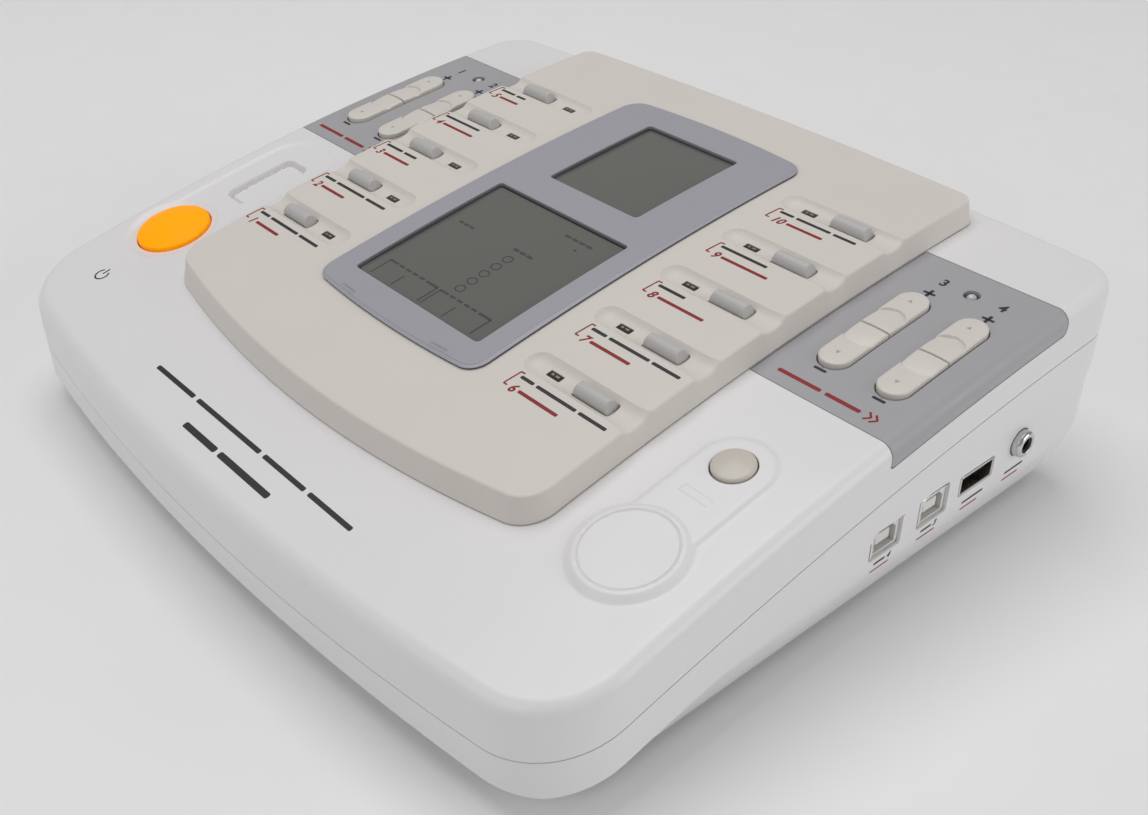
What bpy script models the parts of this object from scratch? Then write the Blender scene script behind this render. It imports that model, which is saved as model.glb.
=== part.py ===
"""Desktop physiotherapy unit: wedge-shaped case, raised key console and twin displays.

Metres, +Z up, +Y to the rear, +X to the user's right. In the case frame x = 0 is the centre
plane and z = 0 is the table. Every piece hangs from one empty, case_origin, which puts the
middle of the whole outline, the proud lead jack included, on the world's Z axis.
"""
from collections import namedtuple
from math import atan, cos, pi, radians, sin

import bmesh
import bpy
from mathutils import Matrix, Vector

# --- driving dimensions -----------------------------------------------------------------
CLEAR = 0.0003                # gap between touching pieces
CROWN_Z = 0.06594             # height of the console's top face at y = 0
CROWN_SLOPE = 0.161           # its slope there: the case is a wedge that rises to the rear
CROWN_RADIUS = 0.976          # radius of its arched side profile
CONSOLE_RISE = 0.0075         # console's top face above the cover's top face
FOOT_HEIGHT = 0.003           # underside of the case above the table
JACK_PROUD = 0.0020           # lead jack's nose beyond the case's widest line

WALL = 0.0026                 # side walls of both case halves
COVER_THICK = 0.0032          # top of the cover
COVER_EDGE_R = 0.0038         # rounding of the cover's top edge
SEAM_DROP = 0.0160            # parting seam below the cover's top face
BAND_HEIGHT = 0.0115          # lower case's outer band, below the seam
BAND_STEP = 0.0005            # the lower wall's set-back under that band
KNEE_Z = 0.0205               # where the lower wall turns inward to the underside
UNDERCUT = (0.0085, 0.0120, 0.0085)   # side, front, rear set-back of the underside
FLOOR_THICK = 0.0025
SKIN_CUT = 0.0120             # cutters reach this far above and below the skin they open

CONSOLE_DRAFT = 0.0013        # console's walls lean in by this much
CONSOLE_THICK = 0.0030
SCOOP_RADIUS = 0.00635        # key channels: part of a round trough
SCOOP_DEPTH = 0.0015
SCOOP_START_X = 0.0471        # centre of each channel's rounded inner end
KEY_ROW_Y = (-0.0340, -0.0095, 0.0151, 0.0396, 0.0642)   # front to rear, five key channels a side
MODE_KEY_X = 0.0683
MODE_KEY_SIZE = (0.0128, 0.0044, 0.0016)     # length, width, ridge above the console
GUIDE_X = 0.0534
GUIDE_TIP = (0.0044, 0.0015)
MODE_TRAVEL = 0.0008

FRAME_RISE = 0.0011           # display frame's face above the console
FRAME_LIP = 0.0033            # part of its rim that rests on the console
FRAME_DEPTH = 0.0040          # its window walls reach this far below the console's face
MAIN_WINDOW = (0.0574, 0.0549, -0.0119)      # width, length, centre y
SMALL_WINDOW = (0.0388, 0.0431, 0.0487)
LCD_MARGIN = 0.0025
LCD_THICK = 0.0028
LCD_DROP = 0.0048              # shoulder of a display, under the frame
LCD_RECESS = 0.0005            # its window face, which stands up inside the frame

PANEL_THICK = 0.0012          # grey output panels
PANEL_FRONT_Y = 0.0055
PANEL_REAR_Y = 0.0782
PANEL_INNER_X = 0.0851
PANEL_SKIRT = 0.0065          # how far they fold down the case's side
OVAL_X = (0.0985, 0.1172)     # the two pairs of strength keys on each side
OVAL_Y = 0.0382
OVAL_SIZE = (0.0094, 0.0402)
OVAL_SPLIT = 0.0005
OVAL_PROUD = 0.0014
STRENGTH_TRAVEL = 0.0008
CHANNEL_LED = (0.1073, 0.0682)
LED_HOLE_RADIUS = 0.0019
KEY_FLANGE = (0.0007, 0.0008)        # what holds a key under its skin: reach, thickness

POWER_POS = (-0.1102, -0.0574)
POWER_RADIUS = 0.0121
POWER_TRAVEL = 0.0030
SURROUND_RADIUS = 0.0155      # shallow round surround of the power button
SURROUND_DEPTH = 0.0012
TRACK_HALF_WIDTH = 0.0108     # raised plateau on the right, from the start button to a blank disc
TRACK_SLOPE = 0.0012          # its sides lean in by this much
TRACK_RISE = 0.0008
RING_RADIUS = 0.0151          # raised round seat of the blank disc, at the surface and on top
RING_TOP_RADIUS = 0.0132
RING_RISE = 0.0015
DISC_POS = (0.1070, -0.0580)
DISC_LINE = (0.0115, 0.0120, 0.0004)     # line round the blank disc: inner and outer radius, depth
POCKET_POS = (-0.1065, -0.0230)
POCKET_SIZE = (0.0120, 0.0245, 0.0020)
START_POS = (0.1070, -0.0244)
START_RADIUS = 0.0059
START_TRAVEL = 0.0012

SOCKET_X = 0.1305             # outer face of the lower wall, which carries the sockets
OUTPUT_SOCKET_Y = (0.0090, 0.0285)
OUTPUT_SOCKET = (0.0116, 0.0086, 0.0293)     # width, height, centre z
PROBE_SOCKET_Y = 0.0476
PROBE_SOCKET = (0.0144, 0.0058, 0.0293)
JACK_POS = (0.0670, 0.0315)
JACK_RADIUS = 0.0040
INLET_POS = (-0.0700, 0.0300)
INLET_RADIUS = 0.0045

BOARD_Z = 0.0227              # underside of the main board
BOARD_THICK = 0.0016
FOOT_POS = (0.0960, 0.0850)
FOOT_RADIUS = 0.0080
SCREW_X = 0.1140
SCREW_Y = (-0.0812, 0.0920)
SCREW_HEAD = (0.0031, 0.0016)        # radius, thickness
SCREW_SHAFT_RADIUS = 0.0014
SCREW_LENGTH = 0.0124
SCREW_SUNK = 0.0012                  # depth of the recess for the head
BOSS = (0.0038, 0.0075)              # cover's screw boss: radius, height of its lower end
BOSS_HOLE = (0.00165, 0.0170)        # radius, height of its blind end
POST_X = 0.0850                      # posts that carry the main board
POST_Y = (-0.0580, 0.0780)
POST_RADIUS = 0.0030
DISPLAY_BOARD_DROP = 0.0102          # board faces below the surface they serve
KEY_BOARD_DROP = 0.0090

MATERIALS = {                 # colour, roughness, metallic
    "white_shell": ((0.72, 0.72, 0.73), 0.25, 0.0),
    "console_beige": ((0.60, 0.57, 0.52), 0.45, 0.0),
    "panel_grey": ((0.34, 0.34, 0.38), 0.40, 0.0),
    "frame_grey": ((0.33, 0.34, 0.39), 0.35, 0.0),
    "lcd_glass": ((0.12, 0.13, 0.12), 0.12, 0.0),
    "mode_key": ((0.46, 0.48, 0.48), 0.35, 0.0),
    "strength_key": ((0.75, 0.73, 0.67), 0.40, 0.0),
    "power_orange": ((0.95, 0.40, 0.01), 0.30, 0.0),
    "start_beige": ((0.55, 0.50, 0.43), 0.15, 0.0),
    "smoked_plastic": ((0.03, 0.03, 0.03), 0.20, 0.0),
    "led_lens": ((0.70, 0.72, 0.75), 0.10, 0.0),
    "socket_metal": ((0.75, 0.75, 0.76), 0.25, 1.0),
    "socket_black": ((0.02, 0.02, 0.02), 0.45, 0.0),
    "board_green": ((0.02, 0.16, 0.07), 0.45, 0.0),
    "rubber": ((0.03, 0.03, 0.03), 0.85, 0.0),
    "screw_steel": ((0.55, 0.56, 0.57), 0.30, 1.0),
}

Outline = namedtuple("Outline", "half_width front_y rear_y front_bow rear_bow front_r rear_r steps")
CASE = Outline(0.1310, -0.11175, 0.11175, 0.575, 0.30, 0.024, 0.013, (5, 6, 10, 5, 4))
CONSOLE = Outline(0.0848, -0.0786, 0.1050, 1.32, 0.32, 0.010, 0.006, (5, 4, 9, 3, 3))
FRAME = Outline(0.0370, -0.0497, 0.0829, 1.40, 1.60, 0.0060, 0.0065, (2, 3, 6, 3, 2))


# --- surfaces ---------------------------------------------------------------------------
def crown(y):
    """Height of the console's top face."""
    return CROWN_Z + CROWN_SLOPE * y - y * y / (2 * CROWN_RADIUS)


def cover_top(y):
    return crown(y) - CONSOLE_RISE


def seam(y):
    return cover_top(y) - SEAM_DROP


def band_edge(y):
    lowest = FOOT_HEIGHT + 0.007
    return max(seam(y) - BAND_HEIGHT, lowest)


def below(surface, drop):
    """The same surface, lowered by drop."""
    return lambda y: surface(y) - drop


def level(z):
    return lambda y: z


def seat(x, y, surface, drop=0.0):
    """A frame on a surface at (x, y), with its Z along the surface's normal."""
    slope = CROWN_SLOPE - y / CROWN_RADIUS
    place = Matrix.Translation((x, y, surface(y)))
    return place @ Matrix.Rotation(atan(slope), 4, "X") @ Matrix.Translation((0, 0, -drop))


# --- outlines ---------------------------------------------------------------------------
def half_points(outline, inset):
    """Right half of an outline, front centre to rear centre, set in by (side, front, rear)."""
    side, front, rear = inset
    half_width = outline.half_width - side
    front_r = max(outline.front_r - max(side, front), 0.001)
    rear_r = max(outline.rear_r - max(side, rear), 0.001)
    bow_n, corner_n, side_n, rear_n, rear_bow_n = outline.steps

    def corner(radius, bow):
        """Where a corner arc meets the bowed edge, and the edge's angle there."""
        x = half_width - radius
        for _ in range(4):
            x = half_width - radius + radius * sin(atan(2 * bow * x))
        return x, atan(2 * bow * x)

    front_x, front_a = corner(front_r, outline.front_bow)
    rear_x, rear_a = corner(rear_r, outline.rear_bow)
    front_y = outline.front_y + front
    rear_y = outline.rear_y - rear
    front_c = front_y + outline.front_bow * front_x ** 2 + front_r * cos(front_a)
    rear_c = rear_y - outline.rear_bow * rear_x ** 2 - rear_r * cos(rear_a)

    points = []
    for i in range(bow_n + 1):
        x = front_x * i / bow_n
        points.append((x, front_y + outline.front_bow * x * x))
    for i in range(1, corner_n + 1):
        a = (front_a - pi / 2) * (1 - i / corner_n)
        points.append((half_width - front_r + front_r * cos(a), front_c + front_r * sin(a)))
    for i in range(1, side_n + 1):
        points.append((half_width, front_c + (rear_c - front_c) * i / side_n))
    for i in range(1, rear_n + 1):
        a = (pi / 2 - rear_a) * i / rear_n
        points.append((half_width - rear_r + rear_r * cos(a), rear_c + rear_r * sin(a)))
    for i in range(1, rear_bow_n + 1):
        x = rear_x * (1 - i / rear_bow_n)
        points.append((x, rear_y - outline.rear_bow * x * x))
    return points


def rounded_rectangle(width, length, radius, steps=4):
    points = []
    for k, (sx, sy) in enumerate(((1, 1), (-1, 1), (-1, -1), (1, -1))):
        for i in range(steps + 1):
            a = pi / 2 * (k + i / steps)
            x = sx * (width / 2 - radius) + radius * cos(a)
            points.append((x, sy * (length / 2 - radius) + radius * sin(a)))
    return points


def circle(radius, steps):
    return [(radius * cos(2 * pi * i / steps), radius * sin(2 * pi * i / steps)) for i in range(steps)]


def moved(points, x, y):
    return [(px + x, py + y) for px, py in points]


# --- mesh building ----------------------------------------------------------------------
def add_ring(bm, points):
    return [bm.verts.new(p) for p in points]


def bridge(bm, lower, upper):
    count = len(lower)
    for i in range(count):
        j = (i + 1) % count
        bm.faces.new((lower[i], lower[j], upper[j], upper[i]))


def ladder(bm, ring):
    """Close a symmetric ring with strips that run straight across from right to left."""
    count = len(ring)
    half = count // 2
    bm.faces.new((ring[0], ring[1], ring[-1]))
    for i in range(1, half - 1):
        bm.faces.new((ring[i], ring[i + 1], ring[count - i - 1], ring[count - i]))
    bm.faces.new((ring[half - 1], ring[half], ring[half + 1]))


def loft(outline, rings):
    """A closed body through rings of (inset, height over y), both ends closed by ladders."""
    bm = bmesh.new()
    levels = []
    for inset, height in rings:
        if not isinstance(inset, tuple):
            inset = (inset, inset, inset)
        half = half_points(outline, inset)
        whole = half + [(-x, y) for x, y in reversed(half[1:-1])]
        levels.append(add_ring(bm, [(x, y, height(y)) for x, y in whole]))
    for lower, upper in zip(levels, levels[1:]):
        bridge(bm, lower, upper)
    ladder(bm, levels[0])
    ladder(bm, levels[-1])
    return bm


def add_stack(bm, layers, matrix=None):
    """A closed body through layers of (outline points, z), each with as many points."""
    matrix = matrix or Matrix()
    levels = []
    for points, z in layers:
        levels.append(add_ring(bm, [matrix @ Vector((x, y, z)) for x, y in points]))
    for lower, upper in zip(levels, levels[1:]):
        bridge(bm, lower, upper)
    bm.faces.new(levels[0])
    bm.faces.new(levels[-1])
    return bm


def add_prism(bm, points, z0, z1, matrix=None):
    return add_stack(bm, [(points, z0), (points, z1)], matrix)


def add_box(bm, size, centre, matrix=None):
    corners = [(sx * size[0] / 2 + centre[0], sy * size[1] / 2 + centre[1])
               for sx, sy in ((-1, -1), (1, -1), (1, 1), (-1, 1))]
    half = size[2] / 2
    return add_prism(bm, corners, centre[2] - half, centre[2] + half, matrix)


def add_turned(bm, profile, steps, matrix=None):
    """A body of revolution about Z; the profile of (radius, z) runs from one end to the other."""
    layers = [(circle(radius, steps), z) for radius, z in profile]
    return add_stack(bm, layers, matrix)


def add_side_profile(bm, points, x0, x1):
    """A (y, z) outline extruded along X."""
    left = add_ring(bm, [(x0, y, z) for y, z in points])
    right = add_ring(bm, [(x1, y, z) for y, z in points])
    bridge(bm, left, right)
    bm.faces.new(left)
    bm.faces.new(right)
    return bm


# --- objects ----------------------------------------------------------------------------
def clear_scene():
    for item in list(bpy.data.objects):
        bpy.data.objects.remove(item, do_unlink=True)


def make_material(name):
    colour, roughness, metallic = MATERIALS[name]
    material = bpy.data.materials.get(name) or bpy.data.materials.new(name)
    material.use_nodes = True
    shader = material.node_tree.nodes["Principled BSDF"]
    shader.inputs["Base Color"].default_value = (*colour, 1.0)
    shader.inputs["Roughness"].default_value = roughness
    shader.inputs["Metallic"].default_value = metallic
    return material


def make_object(name, bm, material, matrix=None):
    """Turn a bmesh into a named, shaded object that hangs from the case's origin."""
    bmesh.ops.recalc_face_normals(bm, faces=bm.faces)
    mesh = bpy.data.meshes.new(name)
    bm.to_mesh(mesh)
    bm.free()
    mesh.materials.append(make_material(material))
    mesh.shade_smooth()
    mesh.set_sharp_from_angle(angle=radians(30))
    item = bpy.data.objects.new(name, mesh)
    bpy.context.scene.collection.objects.link(item)
    item.parent = bpy.data.objects["case_origin"]
    item.matrix_local = matrix or Matrix()
    return item


def make_helper(name, bm):
    """A body that only cuts or joins; it is not a piece of the object."""
    item = make_object(name, bm, "socket_black")
    item.hide_render = True
    item.display_type = "WIRE"
    return item


def combine(item, helper, operation):
    modifier = item.modifiers.new(helper.name, "BOOLEAN")
    modifier.operation = operation
    modifier.solver = "EXACT"
    modifier.object = helper


# --- case -------------------------------------------------------------------------------
def cover_rings(rim_drop, skin, proud=0.0):
    """Rings of a skin over the cover's outside: inner face, rim, rounded outer face."""
    radius = COVER_EDGE_R
    inner = radius - skin
    rings = [(skin + inner, below(cover_top, skin)),
             (skin + inner * 0.3, below(cover_top, skin + inner * 0.3)),
             (skin, below(cover_top, skin + inner)),
             (skin, below(cover_top, rim_drop)),
             (-proud, below(cover_top, rim_drop))]
    for i in range(5):
        a = pi / 2 * i / 4
        rings.append((radius - (radius + proud) * cos(a),
                      below(cover_top, radius - (radius + proud) * sin(a))))
    return rings


def build_cover():
    radius = COVER_EDGE_R
    rings = [(WALL + radius, below(cover_top, COVER_THICK)),
             (WALL, below(cover_top, COVER_THICK + 0.004)),
             (WALL, below(seam, -CLEAR / 2)),
             (0.0, below(seam, -CLEAR / 2))]
    for i in range(5):
        a = pi / 2 * i / 4
        rings.append((radius * (1 - cos(a)), below(cover_top, radius * (1 - sin(a)))))
    cover = make_object("top_cover", loft(CASE, rings), "white_shell")

    bosses = bmesh.new()
    for x in (-SCREW_X, SCREW_X):
        for y in SCREW_Y:
            add_prism(bosses, moved(circle(BOSS[0], 12), x, y), BOSS[1], cover_top(y) - COVER_THICK / 2)
    combine(cover, make_helper("cover_bosses", bosses), "UNION")

    disc_x, disc_y = DISC_POS
    track_y = (START_POS[1] + disc_y) / 2
    track_length = START_POS[1] - disc_y
    layers = []
    for inset, rise in ((-TRACK_SLOPE, -TRACK_RISE), (TRACK_SLOPE, TRACK_RISE)):
        half_width = TRACK_HALF_WIDTH - inset
        plan = rounded_rectangle(2 * half_width, track_length + 2 * half_width, half_width, 7)
        layers.append((plan, rise))
    track = add_stack(bmesh.new(), layers, seat(START_POS[0], track_y, cover_top))
    combine(cover, make_helper("cover_track", track), "UNION")
    lean = (RING_RADIUS - RING_TOP_RADIUS) / RING_RISE
    profile = [(RING_RADIUS + lean * TRACK_RISE, -TRACK_RISE), (RING_TOP_RADIUS, RING_RISE)]
    ring = add_turned(bmesh.new(), profile, 36, seat(disc_x, disc_y, cover_top))
    combine(cover, make_helper("cover_ring", ring), "UNION")

    cuts = loft(CONSOLE, [(0.005, level(0.030)), (0.005, level(0.095))])
    add_prism(cuts, circle(POWER_RADIUS + CLEAR, 32), -SKIN_CUT, SKIN_CUT, seat(*POWER_POS, cover_top))
    add_prism(cuts, circle(START_RADIUS + CLEAR, 24), -SKIN_CUT, SKIN_CUT, seat(*START_POS, cover_top))
    for side in (-1, 1):
        for x in OVAL_X:
            oval = rounded_rectangle(OVAL_SIZE[0] + 2 * CLEAR, OVAL_SIZE[1] + 2 * CLEAR, OVAL_SIZE[0] / 2)
            add_prism(cuts, oval, -SKIN_CUT, SKIN_CUT, seat(side * x, OVAL_Y, cover_top))
        led = seat(side * CHANNEL_LED[0], CHANNEL_LED[1], cover_top)
        add_prism(cuts, circle(LED_HOLE_RADIUS, 12), -SKIN_CUT, SKIN_CUT, led)
        for y in SCREW_Y:
            add_prism(cuts, moved(circle(BOSS_HOLE[0], 8), side * SCREW_X, y), 0.0, BOSS_HOLE[1])
    combine(cover, make_helper("cover_openings", cuts), "DIFFERENCE")

    dishes = bmesh.new()
    add_prism(dishes, circle(SURROUND_RADIUS, 32), -SURROUND_DEPTH, SKIN_CUT, seat(*POWER_POS, cover_top))
    pocket = rounded_rectangle(POCKET_SIZE[0], POCKET_SIZE[1], 0.0030, 3)
    add_prism(dishes, pocket, -POCKET_SIZE[2], SKIN_CUT, seat(*POCKET_POS, cover_top))
    combine(cover, make_helper("cover_dishes", dishes), "DIFFERENCE")

    groove = bmesh.new()
    ring_seat = seat(disc_x, disc_y, cover_top)
    heights = (RING_RISE - DISC_LINE[2], SKIN_CUT)
    walls = [(DISC_LINE[1], z) for z in heights] + [(DISC_LINE[0], z) for z in reversed(heights)]
    levels = []
    for radius, z in walls:
        levels.append(add_ring(groove, [ring_seat @ Vector((x, y, z)) for x, y in circle(radius, 32)]))
    for lower, upper in zip(levels, levels[1:] + levels[:1]):
        bridge(groove, lower, upper)
    combine(cover, make_helper("cover_disc_line", groove), "DIFFERENCE")

    for side in ("left", "right"):
        combine(cover, panel_skin(side, "recess"), "DIFFERENCE")
    return cover


def panel_skin(side, purpose):
    """The output panel's body, or the slightly larger recess that it lies in."""
    sign = -1 if side == "left" else 1
    grow = 0.0 if purpose == "panel" else CLEAR
    rings = cover_rings(PANEL_SKIRT + grow, PANEL_THICK + grow, 0.002 if grow else 0.0)
    name = side + "_output_panel"
    if purpose == "panel":
        skin = make_object(name, loft(CASE, rings), "panel_grey")
    else:
        skin = make_helper(name + "_recess", loft(CASE, rings))
    plan = [(PANEL_INNER_X - grow, PANEL_FRONT_Y - grow), (0.140, PANEL_FRONT_Y - grow),
            (0.140, PANEL_REAR_Y + grow), (PANEL_INNER_X - grow, PANEL_REAR_Y + grow)]
    bounds = add_prism(bmesh.new(), [(sign * x, y) for x, y in plan], 0.030, 0.090)
    combine(skin, make_helper(name + "_" + purpose + "_bounds", bounds), "INTERSECT")
    return skin


def build_panel(side):
    sign = -1 if side == "left" else 1
    panel = panel_skin(side, "panel")
    cuts = bmesh.new()
    for x in OVAL_X:
        oval = rounded_rectangle(OVAL_SIZE[0] + 2 * CLEAR, OVAL_SIZE[1] + 2 * CLEAR, OVAL_SIZE[0] / 2)
        add_prism(cuts, oval, -SKIN_CUT, SKIN_CUT, seat(sign * x, OVAL_Y, cover_top))
    led = seat(sign * CHANNEL_LED[0], CHANNEL_LED[1], cover_top)
    add_prism(cuts, circle(LED_HOLE_RADIUS, 12), -SKIN_CUT, SKIN_CUT, led)
    combine(panel, make_helper(side + "_panel_holes", cuts), "DIFFERENCE")


def lower_wall(y):
    return min(KNEE_Z, band_edge(y) - 0.0004)


def build_bottom_case():
    inner_cut = tuple(WALL + u for u in UNDERCUT)
    rings = [(UNDERCUT, level(FOOT_HEIGHT)),
             (BAND_STEP, lower_wall),
             (BAND_STEP, band_edge),
             (0.0, band_edge),
             (0.0, below(seam, CLEAR / 2)),
             (WALL, below(seam, CLEAR / 2)),
             (WALL + BAND_STEP, below(band_edge, 0.001)),
             (WALL + BAND_STEP, lower_wall),
             (inner_cut, level(FOOT_HEIGHT + FLOOR_THICK))]
    case = make_object("bottom_case", loft(CASE, rings), "white_shell")

    posts = bmesh.new()
    for x in (-POST_X, POST_X):
        for y in POST_Y:
            add_prism(posts, moved(circle(POST_RADIUS, 8), x, y), FOOT_HEIGHT + 0.0015, BOARD_Z - CLEAR)
    combine(case, make_helper("board_posts", posts), "UNION")

    cuts = bmesh.new()
    for side in (-1, 1):
        for y in OUTPUT_SOCKET_Y:
            width, height, z = OUTPUT_SOCKET
            add_box(cuts, (0.010, width + 2 * CLEAR, height + 2 * CLEAR), (side * 0.130, y, z))
        for y in SCREW_Y:
            head = SCREW_HEAD[0] + 0.0005
            shaft = SCREW_SHAFT_RADIUS + CLEAR
            recess = FOOT_HEIGHT + SCREW_SUNK
            profile = [(head, 0.0), (head, recess), (shaft, recess), (shaft, 0.010)]
            add_turned(cuts, profile, 12, Matrix.Translation((side * SCREW_X, y, 0)))
    width, height, z = PROBE_SOCKET
    add_box(cuts, (0.010, width + 2 * CLEAR, height + 2 * CLEAR), (0.130, PROBE_SOCKET_Y, z))
    across = Matrix.Translation((0.130, *JACK_POS)) @ Matrix.Rotation(pi / 2, 4, "Y")
    add_prism(cuts, circle(JACK_RADIUS + CLEAR, 16), -0.005, 0.005, across)
    rearward = Matrix.Translation((INLET_POS[0], inlet_face(), INLET_POS[1]))
    rearward = rearward @ Matrix.Rotation(-pi / 2, 4, "X")
    add_prism(cuts, circle(INLET_RADIUS + CLEAR, 16), -0.005, 0.005, rearward)
    combine(case, make_helper("case_openings", cuts), "DIFFERENCE")


def inlet_face():
    """Y of the lower rear wall where the power inlet comes through."""
    return CASE.rear_y - BAND_STEP - CASE.rear_bow * INLET_POS[0] ** 2


# --- console and displays ---------------------------------------------------------------
def add_scoop(bm, side, y):
    """One key channel: a round trough with a domed inner end, open at the console's edge."""
    centre = seat(side * SCOOP_START_X, y, crown) @ Vector((0, 0, SCOOP_RADIUS - SCOOP_DEPTH))
    steps = 20
    stations = [(-cos(a), sin(a)) for a in (radians(20), radians(40), radians(60), radians(90))]
    rings = []
    for along, scale in stations:
        x = centre.x + side * along * SCOOP_RADIUS
        rings.append((x, scale * SCOOP_RADIUS))
    rings.append((side * 0.0900, SCOOP_RADIUS))
    levels = []
    for x, radius in rings:
        ring = [(x, centre.y + px, centre.z + pz) for px, pz in circle(radius, steps)]
        levels.append(add_ring(bm, ring))
    for lower, upper in zip(levels, levels[1:]):
        bridge(bm, lower, upper)
    bm.faces.new(levels[0])
    bm.faces.new(levels[-1])


def build_console():
    draft = CONSOLE_DRAFT
    foot = below(crown, CONSOLE_RISE - CLEAR)
    rings = [(WALL + 0.001, below(crown, CONSOLE_THICK)),
             (WALL, below(crown, CONSOLE_THICK + 0.001)),
             (WALL - 0.0008, foot),
             (0.0, foot),
             (draft - 0.0003, below(crown, 0.0008)),
             (draft, below(crown, 0.0003)),
             (draft + 0.0007, crown)]
    console = make_object("centre_console", loft(CONSOLE, rings), "console_beige")
    scoops = bmesh.new()
    holes = bmesh.new()
    length, width, _ = MODE_KEY_SIZE
    for side in (-1, 1):
        for y in KEY_ROW_Y:
            add_scoop(scoops, side, y)
            key_hole = (length + 2 * CLEAR, width + 2 * CLEAR, 0.016)
            add_box(holes, key_hole, (0, 0, 0), seat(side * MODE_KEY_X, y, crown))
            tip_hole = (GUIDE_TIP[0] + 2 * CLEAR, GUIDE_TIP[1] + 2 * CLEAR, 0.016)
            add_box(holes, tip_hole, (0, 0, 0), seat(side * GUIDE_X, y, crown))
    opening = loft(FRAME, [(FRAME_LIP - CLEAR, level(0.035)), (FRAME_LIP - CLEAR, level(0.095))])
    combine(console, make_helper("key_channels", scoops), "DIFFERENCE")
    combine(console, make_helper("key_openings", holes), "DIFFERENCE")
    combine(console, make_helper("display_opening", opening), "DIFFERENCE")


def build_display():
    lip = FRAME_LIP
    rings = [(lip, below(crown, FRAME_DEPTH)),
             (lip, below(crown, -CLEAR)),
             (0.0, below(crown, -CLEAR)),
             (0.0, below(crown, -FRAME_RISE + 0.0003)),
             (0.0004, below(crown, -FRAME_RISE))]
    frame = make_object("display_frame", loft(FRAME, rings), "frame_grey")
    windows = bmesh.new()
    for name, (width, length, y) in (("main_lcd", MAIN_WINDOW), ("small_lcd", SMALL_WINDOW)):
        place = seat(0, y, crown)
        add_prism(windows, rounded_rectangle(width, length, 0.0012, 2), -SKIN_CUT, SKIN_CUT, place)
        shoulder = rounded_rectangle(width + 2 * LCD_MARGIN, length + 2 * LCD_MARGIN, 0.0010, 2)
        window = rounded_rectangle(width - 2 * CLEAR, length - 2 * CLEAR, 0.0010, 2)
        layers = [(shoulder, -LCD_THICK), (shoulder, 0.0), (window, 0.0), (window, LCD_DROP - LCD_RECESS)]
        glass = add_stack(bmesh.new(), layers)
        make_object(name, glass, "lcd_glass", seat(0, y, crown, LCD_DROP))
    combine(frame, make_helper("display_windows", windows), "DIFFERENCE")


# --- keys -------------------------------------------------------------------------------
def mode_key_mesh():
    """A loaf-shaped key along X with a flange that holds it under the console."""
    length, width, ridge = MODE_KEY_SIZE
    radius = width / 2
    reach, thickness = KEY_FLANGE
    flange_top = -CONSOLE_THICK - CLEAR
    flange_bottom = flange_top - thickness
    points = [(-radius - reach, flange_bottom), (-radius - reach, flange_top), (-radius, flange_top)]
    for i in range(9):
        a = pi - pi * i / 8
        points.append((radius * cos(a), ridge - radius + radius * sin(a)))
    points += [(radius, flange_top), (radius + reach, flange_top), (radius + reach, flange_bottom)]
    return add_side_profile(bmesh.new(), points, -length / 2, length / 2)


def build_mode_keys():
    for side, sign in (("left", -1), ("right", 1)):
        for i, y in enumerate(KEY_ROW_Y):
            place = seat(sign * MODE_KEY_X, y, crown)
            make_object(f"{side}_mode_key_{i + 1}", mode_key_mesh(), "mode_key", place)


def half_oval(grow):
    """Outline of one strength key: a straight edge at the split and a round far end."""
    radius = OVAL_SIZE[0] / 2 + grow
    length = (OVAL_SIZE[1] - OVAL_SPLIT) / 2
    base = -length / 2
    far = length / 2 + grow - radius
    points = [(-radius, base), (radius, base)]
    for i in range(9):
        a = pi * i / 8
        points.append((radius * cos(a), far + radius * sin(a)))
    return points


def strength_key_mesh():
    top = OVAL_PROUD
    under = -COVER_THICK - CLEAR
    reach, thickness = KEY_FLANGE
    layers = [(half_oval(reach), under - thickness), (half_oval(reach), under),
              (half_oval(0.0), under), (half_oval(0.0), top - 0.0005), (half_oval(-0.0005), top)]
    return add_stack(bmesh.new(), layers)


def build_strength_keys():
    names = {"left": ("out1", "out2"), "right": ("out3", "out4")}
    for side, sign in (("left", -1), ("right", 1)):
        xs = OVAL_X if sign > 0 else OVAL_X[::-1]
        for name, x in zip(names[side], xs):
            for action, turn in (("plus", 0.0), ("minus", pi)):
                offset = (OVAL_SIZE[1] + OVAL_SPLIT) / 4 * (1 if turn == 0 else -1)
                place = seat(sign * x, OVAL_Y, cover_top)
                place = place @ Matrix.Translation((0, offset, 0)) @ Matrix.Rotation(turn, 4, "Z")
                make_object(f"{name}_{action}_key", strength_key_mesh(), "strength_key", place)


def build_round_buttons():
    r = POWER_RADIUS
    under = -COVER_THICK - CLEAR
    power = [(r + 0.0012, under - 0.0012), (r + 0.0012, under), (r, under), (r, 0.0002),
             (r - 0.0006, 0.0009), (r * 0.80, 0.0018), (r * 0.50, 0.0024), (r * 0.15, 0.0026)]
    make_object("power_button", add_turned(bmesh.new(), power, 28), "power_orange",
                seat(*POWER_POS, cover_top))
    r = START_RADIUS
    start = [(r + 0.0010, under - 0.0010), (r + 0.0010, under), (r, under), (r, 0.0012),
             (r - 0.0008, 0.0020), (r * 0.3, 0.0023)]
    make_object("start_button", add_turned(bmesh.new(), start, 20), "start_beige",
                seat(*START_POS, cover_top))


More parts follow.
